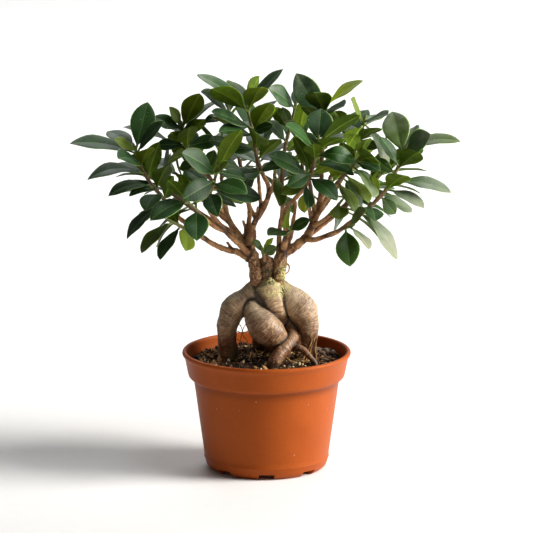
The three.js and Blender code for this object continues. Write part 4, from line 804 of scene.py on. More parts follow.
# A lathe surface: radius and height follow the profile, and the angle runs once round. In a notch,
# every point below the notch's height is raised to it.
def potMesh():
    halfNotch = math.asin(pot["notchWidth"] / 2 / pot["notchRadius"])
    centres = -np.pi / 2 + 2 * np.pi * np.arange(pot["notches"]) / pot["notches"]
    even = 2 * np.pi * np.arange(pot["segments"]) / pot["segments"] - np.pi / 2
    flanks = (centres[:, None] + np.array(pot["flanks"]) * halfNotch).ravel() % (2 * np.pi)
    even = even % (2 * np.pi)
    even = even[np.abs(even[:, None] - flanks[None]).min(axis=1) > pot["leastTurn"]]
    angles = np.sort(np.concatenate([even, flanks]))
    off = np.abs((angles[:, None] - centres[None] + np.pi) % (2 * np.pi) - np.pi).min(axis=1)
    inNotch = off < halfNotch
    profile = finerProfile(pot["profile"], pot["profileStep"])
    radius = np.repeat(profile[:, :1], len(angles), axis=1)
    height = np.repeat(profile[:, 1:], len(angles), axis=1)
    height = np.where(inNotch[None] & (height < pot["notchHeight"]), pot["notchHeight"], height)
    skin = np.stack([radius * np.cos(angles), radius * np.sin(angles), height], axis=-1).reshape(-1, 3)
    rings, around = len(profile), len(angles)
    poles = np.array([[0, 0, pot["floorUnder"]], [0, 0, pot["floorTop"]]])
    return np.concatenate([skin, poles]), [ringFaces(rings, around), poleFaces(rings, around)]


# Matte polypropylene, moulded: satin skin with a fine spark-eroded grain, a little dust in it
def plasticMaterial():
    material, tree = newMaterial("mouldedPolypropylene")
    place = addNode(tree, "TexCoord").outputs["Object"]
    height = addNode(tree, "SeparateXYZ", {0: place}).outputs["Z"]
    # clouds 26 mm across, grain of 1 mm
    drift, grain = [
        addNode(tree, "TexNoise", {"Vector": place, "Scale": scale, "Detail": detail}).outputs[0]
        for scale, detail in ((38, 3), (1000, 2))
    ]
    # a speck of dust each 5 mm, of which one in four is kept
    dust = addNode(tree, "TexVoronoi", {"Vector": place, "Scale": 190.0})
    kept = addNode(tree, "Math", {0: dust.outputs["Color"], 1: 0.72}, operation="GREATER_THAN").outputs[0]
    colour = layered(tree, linear("#8d3d10"), [
        (1, "#a9521e", (drift, 0, 1)),
        (0.3, "#80340b", (grain, 0.4, 0.75)),
        (0.55, "#5a2409", (height, 0.0585, 0.0636), (height, 0.0668, 0.0652)),  # painted shade: a dark line under the rim band, where its overhang casts a shadow
        (0.55, "#d9c3a8", (dust.outputs["Distance"], 0.09, 0.05), (kept, 0, 1)),
    ])
    relief = addNode(tree, "Bump", {"Strength": 0.5, "Distance": 0.00016, "Height": grain})
    gloss = addNode(tree, "MapRange", {0: drift, 1: 0.3, 2: 0.7, 3: 0.44, 4: 0.54})
    return closeMaterial(material, {
        "Base Color": colour, "Roughness": gloss.outputs[0], "Normal": relief.outputs[0], "IOR": 1.49,
        "Specular IOR Level": 0.3, "Specular Tint": linear("#ffbf90"),
    })


potPiece = makePiece("potBody", *potMesh())
potPiece.data.set_sharp_from_angle(angle=math.radians(pot["sharpAngle"]))
drillParts = []
for number in range(pot["drainHoles"]):
    turn = np.pi / 4 + 2 * np.pi * number / pot["drainHoles"]
    centre = pot["drainRing"] * np.array([math.cos(turn), math.sin(turn), 0])
    drillPath = centre + np.array([[0, 0, 1.0], [0, 0, pot["drillTop"]]])
    radii = np.full(2, pot["drainRadius"])
    drillParts.append(stemMesh(drillPath, np.array([[0, 0, 1.0]] * 2), radii, pot["drillSides"]))
drill = makePiece("drainDrill", *gather(drillParts))
cut = potPiece.modifiers.new("drainHoles", "BOOLEAN")
cut.object, cut.operation, cut.solver = drill, "DIFFERENCE", "EXACT"
finished = bpy.data.meshes.new_from_object(potPiece.evaluated_get(bpy.context.evaluated_depsgraph_get()))
potPiece.modifiers.clear()
potPiece.data = finished
bpy.data.objects.remove(drill)
dress(potPiece, "pot", "pot_plastic", plasticMaterial())
report("pot")


# Soil: fine dark potting mix, heaped a little, with crumbs and bits lying in it
soil = {
    "top": 79,
    "slope": 3.5,
    "rimRadius": 60,
    "radius": 55.8,
    "foot": 70,
    "rings": 150,
    "around": 320,
    "ringPower": 1.15,
    "skirt": 0.93,
    "bedSink": 0.3,
}


# Soil height: a shallow dome and two slow waves
def soilHeight(x, y):
    dome = soil["top"] - soil["slope"] * ((x * x + y * y) / soil["rimRadius"] ** 2)
    return dome + 0.8 * np.sin(0.31 * x + 1) * np.cos(0.27 * y) + 0.5 * np.sin(0.12 * x - 0.19 * y)


# The bed is a disc of rings that shrink to the middle, with crumbs as noise, on a short closed skirt.
def soilMesh():
    inward = np.linspace(0, 1, soil["rings"], endpoint=False)[:, None]
    radius = soil["radius"] * (1 - inward ** soil["ringPower"])
    angle = 2 * np.pi * np.arange(soil["around"])[None] / soil["around"]
    x, y = radius * np.cos(angle), radius * np.sin(angle)
    flat = np.stack([x, y, np.zeros_like(x)], axis=-1).reshape(-1, 3)
    crumbs = 0.35 * ripples(flat, 5, 11) + 0.28 * np.abs(ripples(flat, 2.3, 12))
    crumbs += 0.16 * ripples(flat, 1.2, 13)
    top = flat.copy()
    top[:, 2] = soilHeight(flat[:, 0], flat[:, 1]) + crumbs - soil["bedSink"]
    edge = top[:soil["around"]].copy()
    edge[:, 2] = soil["foot"]
    edge[:, :2] *= soil["skirt"]
    poles = np.array([[0, 0, soil["foot"]], [0, 0, soilHeight(0, 0)]])
    rings, around = soil["rings"] + 1, soil["around"]
    return np.concatenate([edge, top, poles]), [ringFaces(rings, around), poleFaces(rings, around)]


# Peat and bark fines: near-black when moist, with rusty and grey grains, dull
def soilMaterial():
    material, tree = newMaterial("moistPottingMix")
    place = addNode(tree, "TexCoord").outputs["Object"]
    # grains of 1.5 mm, patches 8 mm across
    grain, patch = [
        addNode(tree, "TexNoise", {"Vector": place, "Scale": scale, "Detail": detail}).outputs[0]
        for scale, detail in ((650, 6), (120, 3))
    ]
    bits = addNode(tree, "TexVoronoi", {"Vector": place, "Scale": 520.0})  # 2 mm bits, one in seven light
    rare = addNode(tree, "Math", {0: bits.outputs["Color"], 1: 0.86}, operation="GREATER_THAN").outputs[0]
    colour = layered(tree, linear("#140d07"), [
        (1, "#452e1b", (grain, 0.35, 0.7)),
        (0.6, "#5e3f24", (patch, 0.5, 0.75)),
        (1, "#8a663c", (rare, 0, 1)),
    ])
    relief = addNode(tree, "Bump", {"Strength": 0.9, "Distance": 0.0006, "Height": grain}).outputs[0]
    return closeMaterial(material, {"Base Color": colour, "Roughness": 0.86, "Normal": relief, "IOR": 1.4})


dress(makePiece("soilBed", *soilMesh()), "soil", "potting_soil", soilMaterial())
report("soil bed")

# Loose bits on the soil: how many, their largest and smallest length in mm, their proportions, the
# rings and sides of one bit, how angular it is, how far it may tilt, and where they gather: across,
# away, spread and share of them, with the rest spread evenly.
looseBits = {
    "soilCrumbs": {
        "count": 1900, "sizes": (0.8, 2.6), "shape": (1, 0.8, 0.7), "rings": 3, "around": 6, "angular": 0.3,
        "tilt": 1.5, "gathered": [], "dark": "#150d07", "light": "#553820",
    },
    "barkChips": {
        "count": 420, "sizes": (2.4, 7), "shape": (1, 0.62, 0.26), "rings": 4, "around": 7, "angular": 0.2,
        "tilt": 0.7, "gathered": [(-38, 8, 12, 0.2), (30, 12, 14, 0.25)],
        "dark": "#2c1b0e", "light": "#a67a48",
    },
    "strawBits": {
        "count": 190, "sizes": (3.5, 9), "shape": (1, 0.14, 0.09), "rings": 4, "around": 6, "angular": 0.12,
        "tilt": 0.8, "dark": "#94662c", "light": "#eec880", "gathered": [
            (-42, 14, 8, 0.16), (-3, 26, 7, 0.24), (2, 10, 6, 0.2), (-13, 6, 6, 0.12), (22, -8, 8, 0.12),
        ],
    },
    "clayPellets": {
        "count": 70, "sizes": (2.6, 6), "shape": (1, 0.95, 0.85), "rings": 5, "around": 9, "angular": 0.07,
        "tilt": 1.5, "gathered": [(39, 27, 8, 0.8)], "dark": "#2a211c", "light": "#6e5c4d",
    },
    "perliteBits": {
        "count": 90, "sizes": (1.4, 4), "shape": (1, 0.7, 0.5), "rings": 4, "around": 7, "angular": 0.22,
        "tilt": 1.5, "gathered": [(22, -12, 9, 0.5), (-30, 2, 12, 0.2)],
        "dark": "#a4804f", "light": "#ead3a8",
    },
}
scatter = {
    "reach": 54,  # mm from the pot's axis
    "edge": 54.4,
    "overhang": 0.4,  # these shares are of a bit's length
    "rootGap": 0.18,
    "lift": 0.3,
    "raised": 0.22,
    "height": 0.1,
    "poles": 0.6,  # how far the first ring of a bit is from its end, in rings
    "beadsPerSpan": 12,
    "seed": 50,
}
rootBeads = [
    placesAlong(route, 0, len(route["points"]) - 1, scatter["beadsPerSpan"]) for route in rootRoutes
]
rootBeadPoints = np.concatenate([one[0] for one in rootBeads])
rootBeadRadii = np.concatenate([one[2] for one in rootBeads])


# A bit is a ball of rings, drawn out of round point by point, squeezed to its proportions, tilted,
# turned and laid on the soil; bits that would lie in a root are left out.
def bitMesh(kind, seed):
    source = np.random.default_rng(seed)
    count = kind["count"]
    reach = scatter["reach"] * np.sqrt(source.uniform(0, 1, count))
    angle = source.uniform(0, 2 * np.pi, count)
    x, y = reach * np.cos(angle), reach * np.sin(angle)
    chance, start = source.uniform(0, 1, count), 0.0
    for centreX, centreY, spread, share in kind["gathered"]:
        here = (chance >= start) & (chance < start + share)
        x = np.where(here, centreX + spread * source.normal(size=count), x)
        y = np.where(here, centreY + spread * source.normal(size=count), y)
        start += share
    smallest, largest = kind["sizes"]
    size = smallest + (largest - smallest) * source.uniform(0, 1, count) ** 2
    height = soilHeight(x, y) + scatter["height"] + size * kind["shape"][2] * scatter["raised"]
    places = np.stack([x, y, height], axis=-1)
    free = np.hypot(x, y) < scatter["edge"] - size * scatter["overhang"]
    gap = np.linalg.norm(places[:, None] - rootBeadPoints[None], axis=2) - rootBeadRadii[None]
    free &= gap.min(axis=1) > size * scatter["rootGap"]
    places, size = places[free], size[free]
    count, rings, around = len(places), kind["rings"], kind["around"]
    polar = np.pi * (np.arange(rings) + scatter["poles"]) / (rings - 1 + 2 * scatter["poles"])
    turn = 2 * np.pi * np.arange(around) / around
    ball = np.stack([
        np.repeat(-np.cos(polar), around), (np.sin(polar)[:, None] * np.cos(turn)).ravel(),
        (np.sin(polar)[:, None] * np.sin(turn)).ravel(),
    ], axis=-1)
    ball = np.concatenate([ball, [[-1, 0, 0], [1, 0, 0]]])
    rough = 1 + kind["angular"] * source.uniform(-1, 1, (count, len(ball), 1))
    bits = ball[None] * rough * np.array(kind["shape"]) * (size / 2)[:, None, None]
    tilt = source.uniform(-1, 1, count)[:, None] * kind["tilt"]
    heading = source.uniform(0, 2 * np.pi, count)[:, None]
    bx = bits[..., 0] * np.cos(tilt) - bits[..., 2] * np.sin(tilt)
    bz = bits[..., 0] * np.sin(tilt) + bits[..., 2] * np.cos(tilt)
    bits = np.stack([bx * np.cos(heading) - bits[..., 1] * np.sin(heading),
                     bx * np.sin(heading) + bits[..., 1] * np.cos(heading), bz], axis=-1)
    bits += places[:, None]
    bits[..., 2] += np.abs(np.sin(tilt)) * size[:, None] * scatter["lift"]
    firsts = np.arange(count)[:, None, None] * len(ball)
    faces = [(ringFaces(rings, around)[None] + firsts).reshape(-1, 4),
             (poleFaces(rings, around)[None] + firsts).reshape(-1, 3)]
    return bits.reshape(-1, 3), faces, np.repeat(source.uniform(0, 1, count), len(ball))


# Dry bits of bark, straw, clay and perlite: dull, and each a shade of its own
def bitMaterial(name, kind):
    material, tree = newMaterial(name)
    place = addNode(tree, "TexCoord").outputs["Object"]
    shade = addNode(tree, "Attribute", attribute_name="shade").outputs["Fac"]
    # grain of 0.9 mm
    grain = addNode(tree, "TexNoise", {"Vector": place, "Scale": 1100, "Detail": 4}).outputs[0]
    uneven = addNode(tree, "Math", {0: grain, 1: 0.7, 2: -0.35}, operation="MULTIPLY_ADD").outputs[0]
    share = addNode(tree, "Math", {0: shade, 1: uneven}, operation="ADD").outputs[0]
    colour = layered(tree, linear(kind["dark"]), [(1, kind["light"], (share, 0, 1))])
    relief = addNode(tree, "Bump", {"Strength": 0.6, "Distance": 0.0003, "Height": grain}).outputs[0]
    return closeMaterial(material, {"Base Color": colour, "Roughness": 0.8, "Normal": relief, "IOR": 1.4})


for number, (name, kind) in enumerate(looseBits.items()):
    bitPoints, bitFaces, bitShades = bitMesh(kind, scatter["seed"] + number)
    piece = makePiece(name, bitPoints, bitFaces)
    setAttribute(piece, "shade", bitShades)
    dress(piece, "soil", "potting_soil", bitMaterial("dry" + name[0].upper() + name[1:], kind))
report("bits on the soil")


# Wood: swollen roots and neck in one skin, the thinner boughs in another
wood = {
    "rootVoxel": 0.86,
    "boughVoxel": 0.52,
    "smoothing": 2,
    "creaseWidth": 1.5,
    "creaseDepth": 0.7,
    "soilSink": 9,  # how far below the soil's surface the skin goes on
    "sampleStep": 1.2,
    "blend": 0.9,  # mm over which the bark of one limb passes into the next
    "boughBlend": 0.54,
    "rootSides": 28,
    "boughSides": 16,
    "rootGrowth": 0.15,  # mm that the smoothing takes away again
    "boughGrowth": 0.1,
    "pointsPerSpan": 24,
    "pointsAtOnce": 2500,
    "aerialStep": 0.8,
    "aerialSides": 12,
    "rootletStep": 0.9,
    "rootletSides": 8,
}


# Samples of a route at an even spacing in mm: place, tangent, radius, length so far
def sampled(route, step, start=0, end=None):
    end = len(route["points"]) - 1 if end is None else end
    fine, _, _ = placesOn(route, np.linspace(start, end, int((end - start) * wood["pointsPerSpan"]) + 2))
    lengths = np.concatenate([[0], np.cumsum(np.linalg.norm(np.diff(fine, axis=0), axis=1))])
    count = max(int(round(lengths[-1] / step)), 2)
    wanted = np.linspace(0, lengths[-1], count + 1)
    at = np.interp(wanted, lengths, np.linspace(start, end, len(lengths)))
    return (*placesOn(route, at), wanted)


# Closed stems fused by a voxel remesh and smoothed; returns points in mm and the new faces.
def fusedSkin(stems, voxel):
    rough = makePiece("roughSkin", *gather(stems))
    remesh = rough.modifiers.new("fuse", "REMESH")
    remesh.mode, remesh.voxel_size, remesh.adaptivity = "VOXEL", voxel * metre, 0
    calm = rough.modifiers.new("calm", "SMOOTH")
    calm.factor, calm.iterations = 0.5, wood["smoothing"]
    mesh = bpy.data.meshes.new_from_object(rough.evaluated_get(bpy.context.evaluated_depsgraph_get()))
    bpy.data.objects.remove(rough)
    points, normals = np.empty(len(mesh.vertices) * 3), np.empty(len(mesh.vertices) * 3)
    mesh.vertices.foreach_get("co", points)
    mesh.vertices.foreach_get("normal", normals)
    corners = np.empty(len(mesh.loops), dtype=np.int32)
    mesh.loops.foreach_get("vertex_index", corners)
    bpy.data.meshes.remove(mesh)
    return (points.reshape(-1, 3) - potAxis) / metre, normals.reshape(-1, 3), corners.reshape(-1, 4)


# Bark space: each point in the straightened frame of the limbs near it, two sides across and the
# length along, as a mean weighted by how near each sample's surface is; the girth there; and the
# crease, which is one where the surfaces of two limbs are equally near and falls off as a bell.
def barkSpace(points, samples, blend):
    columns = [(*one, *sideVectors(one[1])) for one in samples]
    centres, tangents, radii, lengths, first, second = (
        np.concatenate([one[part] for one in columns]).astype(np.float32) for part in range(6)
    )
    starts = np.cumsum([0] + [len(one[0]) for one in samples[:-1]])
    space, girth, crease = np.empty((len(points), 3)), np.empty(len(points)), np.zeros(len(points))
    for start in range(0, len(points), wood["pointsAtOnce"]):
        here = slice(start, start + wood["pointsAtOnce"])
        offset = points[here].astype(np.float32)[:, None] - centres[None]
        gap = np.linalg.norm(offset, axis=2) - radii[None]
        weight = np.exp(-(gap - gap.min(axis=1, keepdims=True)) / blend)
        weight /= weight.sum(axis=1, keepdims=True)
        across, over, along = (np.einsum("psc,sc->ps", offset, way) for way in (first, second, tangents))
        along += lengths[None]
        space[here] = np.stack([(part * weight).sum(axis=1) for part in (across, over, along)], axis=-1)
        girth[here] = (radii[None] * weight).sum(axis=1)
        nearest = np.sort(np.minimum.reduceat(gap, starts, axis=1), axis=1)
        if len(samples) > 1:
            crease[here] = np.exp(-((nearest[:, 1] - nearest[:, 0]) / wood["creaseWidth"]) ** 2)
    return space, girth, crease


# Roots end a little below the soil, where nothing shows any more.
rootStems, rootSamples = [], []
for route in rootRoutes + [trunkRoutes[0], trunkRoutes[2]]:
    places, tangents, radii, lengths = sampled(route, wood["sampleStep"])
    kept = places[:, 2] > soilHeight(places[:, 0], places[:, 1]) - wood["soilSink"]
    if kept.sum() < 3:
        continue
    grownRadii = radii[kept] + wood["rootGrowth"]
    rootStems.append(stemMesh(places[kept], tangents[kept], grownRadii, wood["rootSides"]))
    rootSamples.append((places[kept], tangents[kept], radii[kept], lengths[kept]))
rootPoints, rootNormals, rootFaces = fusedSkin(rootStems, wood["rootVoxel"])
rootSpace, rootGirth, rootCrease = barkSpace(rootPoints, rootSamples, wood["blend"])

# Relief along the normals: slow swellings, ring grooves across each root, and long fibre ridges
# where a root is thick.
ringWay = rootSpace * [0.05, 0.05, 1]
fibreWay = rootSpace * [1, 1, 0.09]
relief = 0.42 * ripples(rootPoints, 13, 21) * smoothStep(2, 7, rootGirth)
relief -= 0.14 * smoothStep(0.5, 1.9, ripples(ringWay, 5.2, 22))
relief -= 0.05 * smoothStep(0.3, 1.6, ripples(ringWay, 2.1, 23))
relief += 0.13 * smoothStep(4, 9, rootGirth) * ripples(fibreWay, 4.2, 24)
relief += 0.09 * ripples(rootPoints, 3.1, 25)
relief -= wood["creaseDepth"] * rootCrease
rootPoints = rootPoints + rootNormals * relief[:, None]
rootPiece = makePiece("rootStock", rootPoints, [rootFaces])


# A bell seen from the front, about a place across and up, with its widths
def frontBell(points, x, height, across, up):
    seenHeight = points[:, 2] + layout["viewTilt"] * points[:, 1]
    return np.exp(-(((points[:, 0] - x) / across) ** 2 + ((seenHeight - height) / up) ** 2))


# Lichen: a crust on the front of the neck, thinner on top of the stub and the shoulders. Green film
# at the foot of the left leg: a bell across, fading out upwards.
crust = frontBell(rootPoints, 7, 132, 8.5, 6.5) * smoothStep(4, -5, rootPoints[:, 1])
clearance = rootPoints[:, 2] - soilHeight(rootPoints[:, 0], rootPoints[:, 1])
leftLeg = np.exp(-(((rootPoints[:, 0] + 21) / 9) ** 2))
rootFields = {
    "barkSpace": rootSpace,
    "girth": rootGirth,
    "crease": rootCrease,
    # how much the skin faces up, for the painted sheen on the tops
    "skyward": rootNormals[:, 2],
    "lichen": np.maximum(crust, 0.5 * frontBell(rootPoints, -6, 139, 5, 6)),
    "overSoil": clearance,
    "algae": 0.75 * smoothStep(17, 4, clearance) * leftLeg,
}
for name, values in rootFields.items():
    setAttribute(rootPiece, name, values)
report(f"root stock, {len(rootFaces) * 2} triangles")

boughStems, boughSamples = [], []
boughParts = [(route, None) for route in [trunkRoutes[1]] + trunkRoutes[3:6] + bareRoutes + boughRoutes]
boughParts += [(shoot["route"], shoot["leafy"]) for shoot in shoots]
for route, end in boughParts:
    if end == 0:
        continue
    samples = sampled(route, wood["sampleStep"], 0, end)
    places, tangents, radii, _ = samples
    boughStems.append(stemMesh(places, tangents, radii + wood["boughGrowth"], wood["boughSides"]))
    boughSamples.append(samples)
boughPoints, boughNormals, boughFaces = fusedSkin(boughStems, wood["boughVoxel"])
boughSpace, boughGirth, boughCrease = barkSpace(boughPoints, boughSamples, wood["boughBlend"])
# Leaf scars and fine unevenness, with flakes and knobs where a limb is thick
ringWay = boughSpace * [0.06, 0.06, 1]
flakeWay = boughSpace * [1, 1, 0.4]
relief = 0.28 * ripples(flakeWay, 1.9, 33) + 0.42 * ripples(boughPoints, 3.6, 34)
relief *= smoothStep(1.2, 3.6, boughGirth)
relief += 0.09 * smoothStep(0.4, 1.6, ripples(ringWay, 3.6, 31)) + 0.09 * ripples(boughPoints, 2.2, 32)
boughPoints = boughPoints + boughNormals * relief[:, None]
boughPiece = makePiece("branches", boughPoints, [boughFaces])
# Lichen on the right stump's foot, moss at the foot of the cut stub
boughFields = {
    "barkSpace": boughSpace,
    "girth": boughGirth,
    "crease": boughCrease,
    "lichen": 0.8 * frontBell(boughPoints, 12.5, 141, 3.2, 5.5),
    "moss": 0.75 * frontBell(boughPoints, 0.4, 142.5, 4, 3.2),
}
for name, values in boughFields.items():
    setAttribute(boughPiece, name, values)
report(f"branches, {len(boughFaces) * 2} triangles")


# Fig root skin: thin grey-brown bark, cross-striated, with corky dashes and fibre streaks, dull
def rootSkinMaterial():
    material, tree = newMaterial("figRootSkin")
    place = addNode(tree, "TexCoord").outputs["Object"]
    bark = addNode(tree, "Attribute", attribute_name="barkSpace").outputs["Vector"]
    girth, overSoil, crease, skyward, algae, lichen = [
        addNode(tree, "Attribute", attribute_name=name).outputs["Fac"]
        for name in ("girth", "overSoil", "crease", "skyward", "algae", "lichen")
    ]
    # wrinkles across the root about 0.7 mm apart, cracks 2.5 mm apart, fibres along it 2.5 mm apart
    across, sparse, along, dashes = [
        addNode(tree, "Mapping", {"Vector": bark, "Scale": scale}).outputs[0]
        for scale in ((0.2, 0.2, 1.45), (0.022, 0.022, 0.42), (0.4, 0.4, 0.04), (0.34, 0.34, 1.5))
    ]
    wrinkle, fibre = [
        addNode(tree, "TexNoise", {"Vector": way, "Scale": 1, "Detail": 4, "Distortion": wander}).outputs[0]
        for way, wander in ((across, 0.3), (along, 0.6))
    ]
    crack = addNode(tree, "TexVoronoi", {"Vector": sparse, "Scale": 1}, feature="DISTANCE_TO_EDGE").outputs[0]
    cork = addNode(tree, "TexVoronoi", {"Vector": dashes, "Scale": 1}).outputs["Distance"]
    # clouds 10 mm and 24 mm across, pores of 1.1 mm
    cloud, drift, pore = [
        addNode(tree, "TexNoise", {"Vector": place, "Scale": scale, "Detail": detail}).outputs[0]
        for scale, detail in ((95, 4), (42, 2), (900, 3))
    ]
    # heights over the soil in mm, uneven by 3 mm up and down
    uneven = addNode(tree, "MapRange", {0: cloud, 1: 0.3, 2: 0.7, 3: -3.0, 4: 3.0}).outputs[0]
    earthAndShadeHeight = addNode(tree, "Math", {0: overSoil, 1: uneven}, operation="ADD").outputs[0]
    colour = layered(tree, linear("#896a4a"), [
        (1, "#ccab84", (cloud, 0.35, 0.68)),
        (0.5, "#8a5230", (drift, 0.5, 0.68)),  # ruddy clouds
        (0.4, "#7a7450", (drift, 0.48, 0.32)),  # olive clouds
        (0.92, "#673a1a", (earthAndShadeHeight, 46, 12)),  # redder and darker towards the soil: partly the roots' own colour, partly painted shade on the low roots
        (0.45, "#d2c6b4", (skyward, 0.05, 0.8), (overSoil, 22, 48)),  # painted sheen, silvery where it faces up
        (0.45, "#d8bf98", (fibre, 0.5, 0.75), (girth, 3.5, 9)),  # fibre streaks on thick roots
        (0.52, "#4f331e", (wrinkle, 0.46, 0.38)),
        (0.3, "#dcc59e", (wrinkle, 0.56, 0.61)),
        (0.42, "#38261a", (crack, 0.05, 0)),
        (0.65, "#dccaa4", (cork, 0.2, 0.12)),
        (0.8, "#2f2014", (earthAndShadeHeight, 6.5, 0.5)),  # earth that clings to the foot
        (1, "#4c4a26", (algae, 0, 1)),
        # painted shade in the creases between roots
        (0.94, "#23160c", (crease, 0.2, 0.9)),
        (2.2, "#cbc578", (pore, 0.49, 0.54), (lichen, 0, 1)),
    ])
    fineRelief = addNode(tree, "Bump", {"Strength": 0.5, "Distance": 0.0003, "Height": pore}).outputs[0]
    relief = addNode(tree, "Bump", {
        "Strength": 0.8, "Distance": 0.0004, "Height": wrinkle, "Normal": fineRelief,
    }).outputs[0]
    gloss = addNode(tree, "MapRange", {0: cloud, 1: 0.3, 2: 0.7, 3: 0.36, 4: 0.52}).outputs[0]
    return closeMaterial(material, {"Base Color": colour, "Roughness": gloss, "Normal": relief, "IOR": 1.45})


# Fig branch bark: thin reddish-brown bark, ringed by leaf scars, paler corky spots, satin to dull
def branchBarkMaterial():
    material, tree = newMaterial("figBranchBark")
    place = addNode(tree, "TexCoord").outputs["Object"]
    bark = addNode(tree, "Attribute", attribute_name="barkSpace").outputs["Vector"]
    girth, crease, moss, lichen = [
        addNode(tree, "Attribute", attribute_name=name).outputs["Fac"]
        for name in ("girth", "crease", "moss", "lichen")
    ]
    rings = addNode(tree, "Mapping", {"Vector": bark, "Scale": (0.12, 0.12, 0.8)}).outputs[0]  # 1.3 mm apart
    ring = addNode(tree, "TexNoise", {"Vector": rings, "Scale": 1.0, "Detail": 4.0}).outputs[0]
    spots = addNode(tree, "TexVoronoi", {"Vector": bark, "Scale": 0.55}).outputs["Distance"]  # 1.8 mm apart
    # clouds 8 mm across, flakes of 1.4 mm
    cloud, flake = [
        addNode(tree, "TexNoise", {"Vector": place, "Scale": scale, "Detail": detail}).outputs[0]
        for scale, detail in ((130, 3), (700, 4))
    ]
    old = (girth, 2.6, 4)  # a limb over 5 to 8 mm thick bears old bark
    colour = layered(tree, linear("#8a5837"), [
        (1, "#cb9b69", (cloud, 0.35, 0.68)),
        (0.45, "#3a2619", (ring, 0.52, 0.34)),
        (0.55, "#5b3d29", old),
        (0.75, "#c79f6d", (flake, 0.54, 0.62), old),  # flecks where old bark breaks
        (0.5, "#cdaa7c", (spots, 0.24, 0.1)),
        # painted shade in the creases where limbs meet
        (0.8, "#24160d", (crease, 0.35, 1)),
        (1, "#2c3a1c", (moss, 0, 1)),
        (2, "#cbc578", (flake, 0.47, 0.53), (lichen, 0, 1)),
    ])
    rough = addNode(tree, "Bump", {"Strength": 0.7, "Distance": 0.0005, "Height": flake}).outputs[0]
    relief = addNode(tree, "Bump", {
        "Strength": 0.6, "Distance": 0.0003, "Height": ring, "Normal": rough,
    }).outputs[0]
    return closeMaterial(material, {"Base Color": colour, "Roughness": 0.6, "Normal": relief, "IOR": 1.42})


branchBark = branchBarkMaterial()
dress(rootPiece, "wood", "fig_bark", rootSkinMaterial())
dress(boughPiece, "wood", "fig_bark", branchBark)
aerialSamples = sampled(trunkRoutes[6], wood["aerialStep"])
aerialPoints, aerialFaces = stemMesh(*aerialSamples[:3], wood["aerialSides"])
aerialPiece = makePiece("aerialRoot", aerialPoints, aerialFaces)
setAttribute(aerialPiece, "barkSpace", barkSpace(aerialPoints, [aerialSamples], wood["blend"])[0])
dress(aerialPiece, "wood", "fig_bark", branchBark)


# Dry rootlets: straw to brown, dull
def rootletMaterial():
    material, tree = newMaterial("dryRootlet")
    bark = addNode(tree, "Attribute", attribute_name="barkSpace").outputs["Vector"]
    along = addNode(tree, "Mapping", {"Vector": bark, "Scale": (0.5, 0.5, 0.12)}).outputs[0]  # 8 mm long
    patch = addNode(tree, "TexNoise", {"Vector": along, "Scale": 1.0, "Detail": 3.0}).outputs[0]
    colour = layered(tree, linear("#5e3d22"), [(1, "#c79a5c", (patch, 0.4, 0.62))])
    return closeMaterial(material, {"Base Color": colour, "Roughness": 0.7, "IOR": 1.42})


# Thin rootlets: a few cross the left gap, and a bundle runs down the outside of the right leg.
rootlets = [
    [[-20.5, 106, -3, 0.3], [-17.6, 101, -4, 0.3], [-16.8, 96, -5, 0.28], [-13.2, 90, -6, 0.28],
        [-12.6, 80, -5, 0.25]],
    [[-20.8, 99, -2, 0.34], [-17, 97.4, -4, 0.32], [-13.6, 99, -6, 0.3], [-10, 101, -7, 0.3]],
    [[-20.8, 93, -2, 0.3], [-18, 90.6, -3, 0.3], [-15.4, 87, -4, 0.3], [-14.6, 80, -4, 0.3]],
    [[-14, 105, -5, 0.28], [-16.2, 101.4, -4, 0.26], [-18, 94.8, -3, 0.26], [-18.4, 87, -3, 0.25],
        [-17.8, 79, -3, 0.25]],
    [[35.6, 104, -4, 0.5], [36, 97, -3.6, 0.7], [34.9, 90, -3.4, 0.8], [34.6, 84, -3, 0.9],
        [35.6, 76, -3, 0.8]],
    [[34.6, 101, -6.6, 0.5], [34.2, 94, -6, 0.7], [31.8, 88, -5.4, 0.8], [30.8, 82, -6, 0.8],
        [31.2, 75, -6.4, 0.7]],
    [[32.6, 97, -8, 0.4], [31.8, 91, -7, 0.6], [29.4, 86, -6.6, 0.7], [27, 81, -8, 0.7],
        [25.6, 75, -9, 0.6]],
]
rootletStems, rootletSpace = [], []
for rows in rootlets:
    samples = sampled(routeOf(rows), wood["rootletStep"])
    stem = stemMesh(*samples[:3], wood["rootletSides"])
    rootletStems.append(stem)
    rootletSpace.append(barkSpace(stem[0], [samples], wood["blend"])[0])
rootletPiece = makePiece("rootlets", *gather(rootletStems))
setAttribute(rootletPiece, "barkSpace", np.concatenate(rootletSpace))
dress(rootletPiece, "wood", "fig_bark", rootletMaterial())
report("wood")


# Leaves: leathery elliptic blades on short stalks, each one closed skin
leaf = {
    "acrossPlaces": [-1, -0.9, -0.66, -0.38, -0.12, 0, 0.12, 0.38, 0.66, 0.9, 1],
    "stalkShares": [0, 0.035, 0.07, 0.1],
    "bladeRings": 13,
    "stalkRadius": 0.78,
    "halfThickness": 0.24,
    "ribDepth": 0.5,
    "grooveDepth": 0.2,
    "rippleHeight": 0.32,
    "marginRoll": 0.05,
    "youngLength": 8,  # a leaf of this length or less is still bright
    "grownLength": 22,
    "sinkShare": 0.6,  # how deep the stalk starts in the twig, as a share of its radius
    "pinch": (0.93, 0.3),  # from where on the tip narrows, and by how much
    "footBlend": (0.01, 0.12),
    "edgeWaves": (1.6, 2.8),
    "edgeSkew": 1.7,
    "ribWidth": 0.1,
    "mapSpacing": 40,  # mm between the flat maps of two leaves for each radian of their phase
    "seed": 700,
    "toneSeed": 400,
    "twigSides": 12,
    "twigStep": 1.1,
    "twigOverlap": 0.12,
    "footSwell": 0.32,
    "swellWidth": 1.1,
    "budLength": 6.5,
    "budRise": [0.08, 0.25, 0.45, 0.65, 0.85, 0.97],
    "leastRadius": 0.08,
}
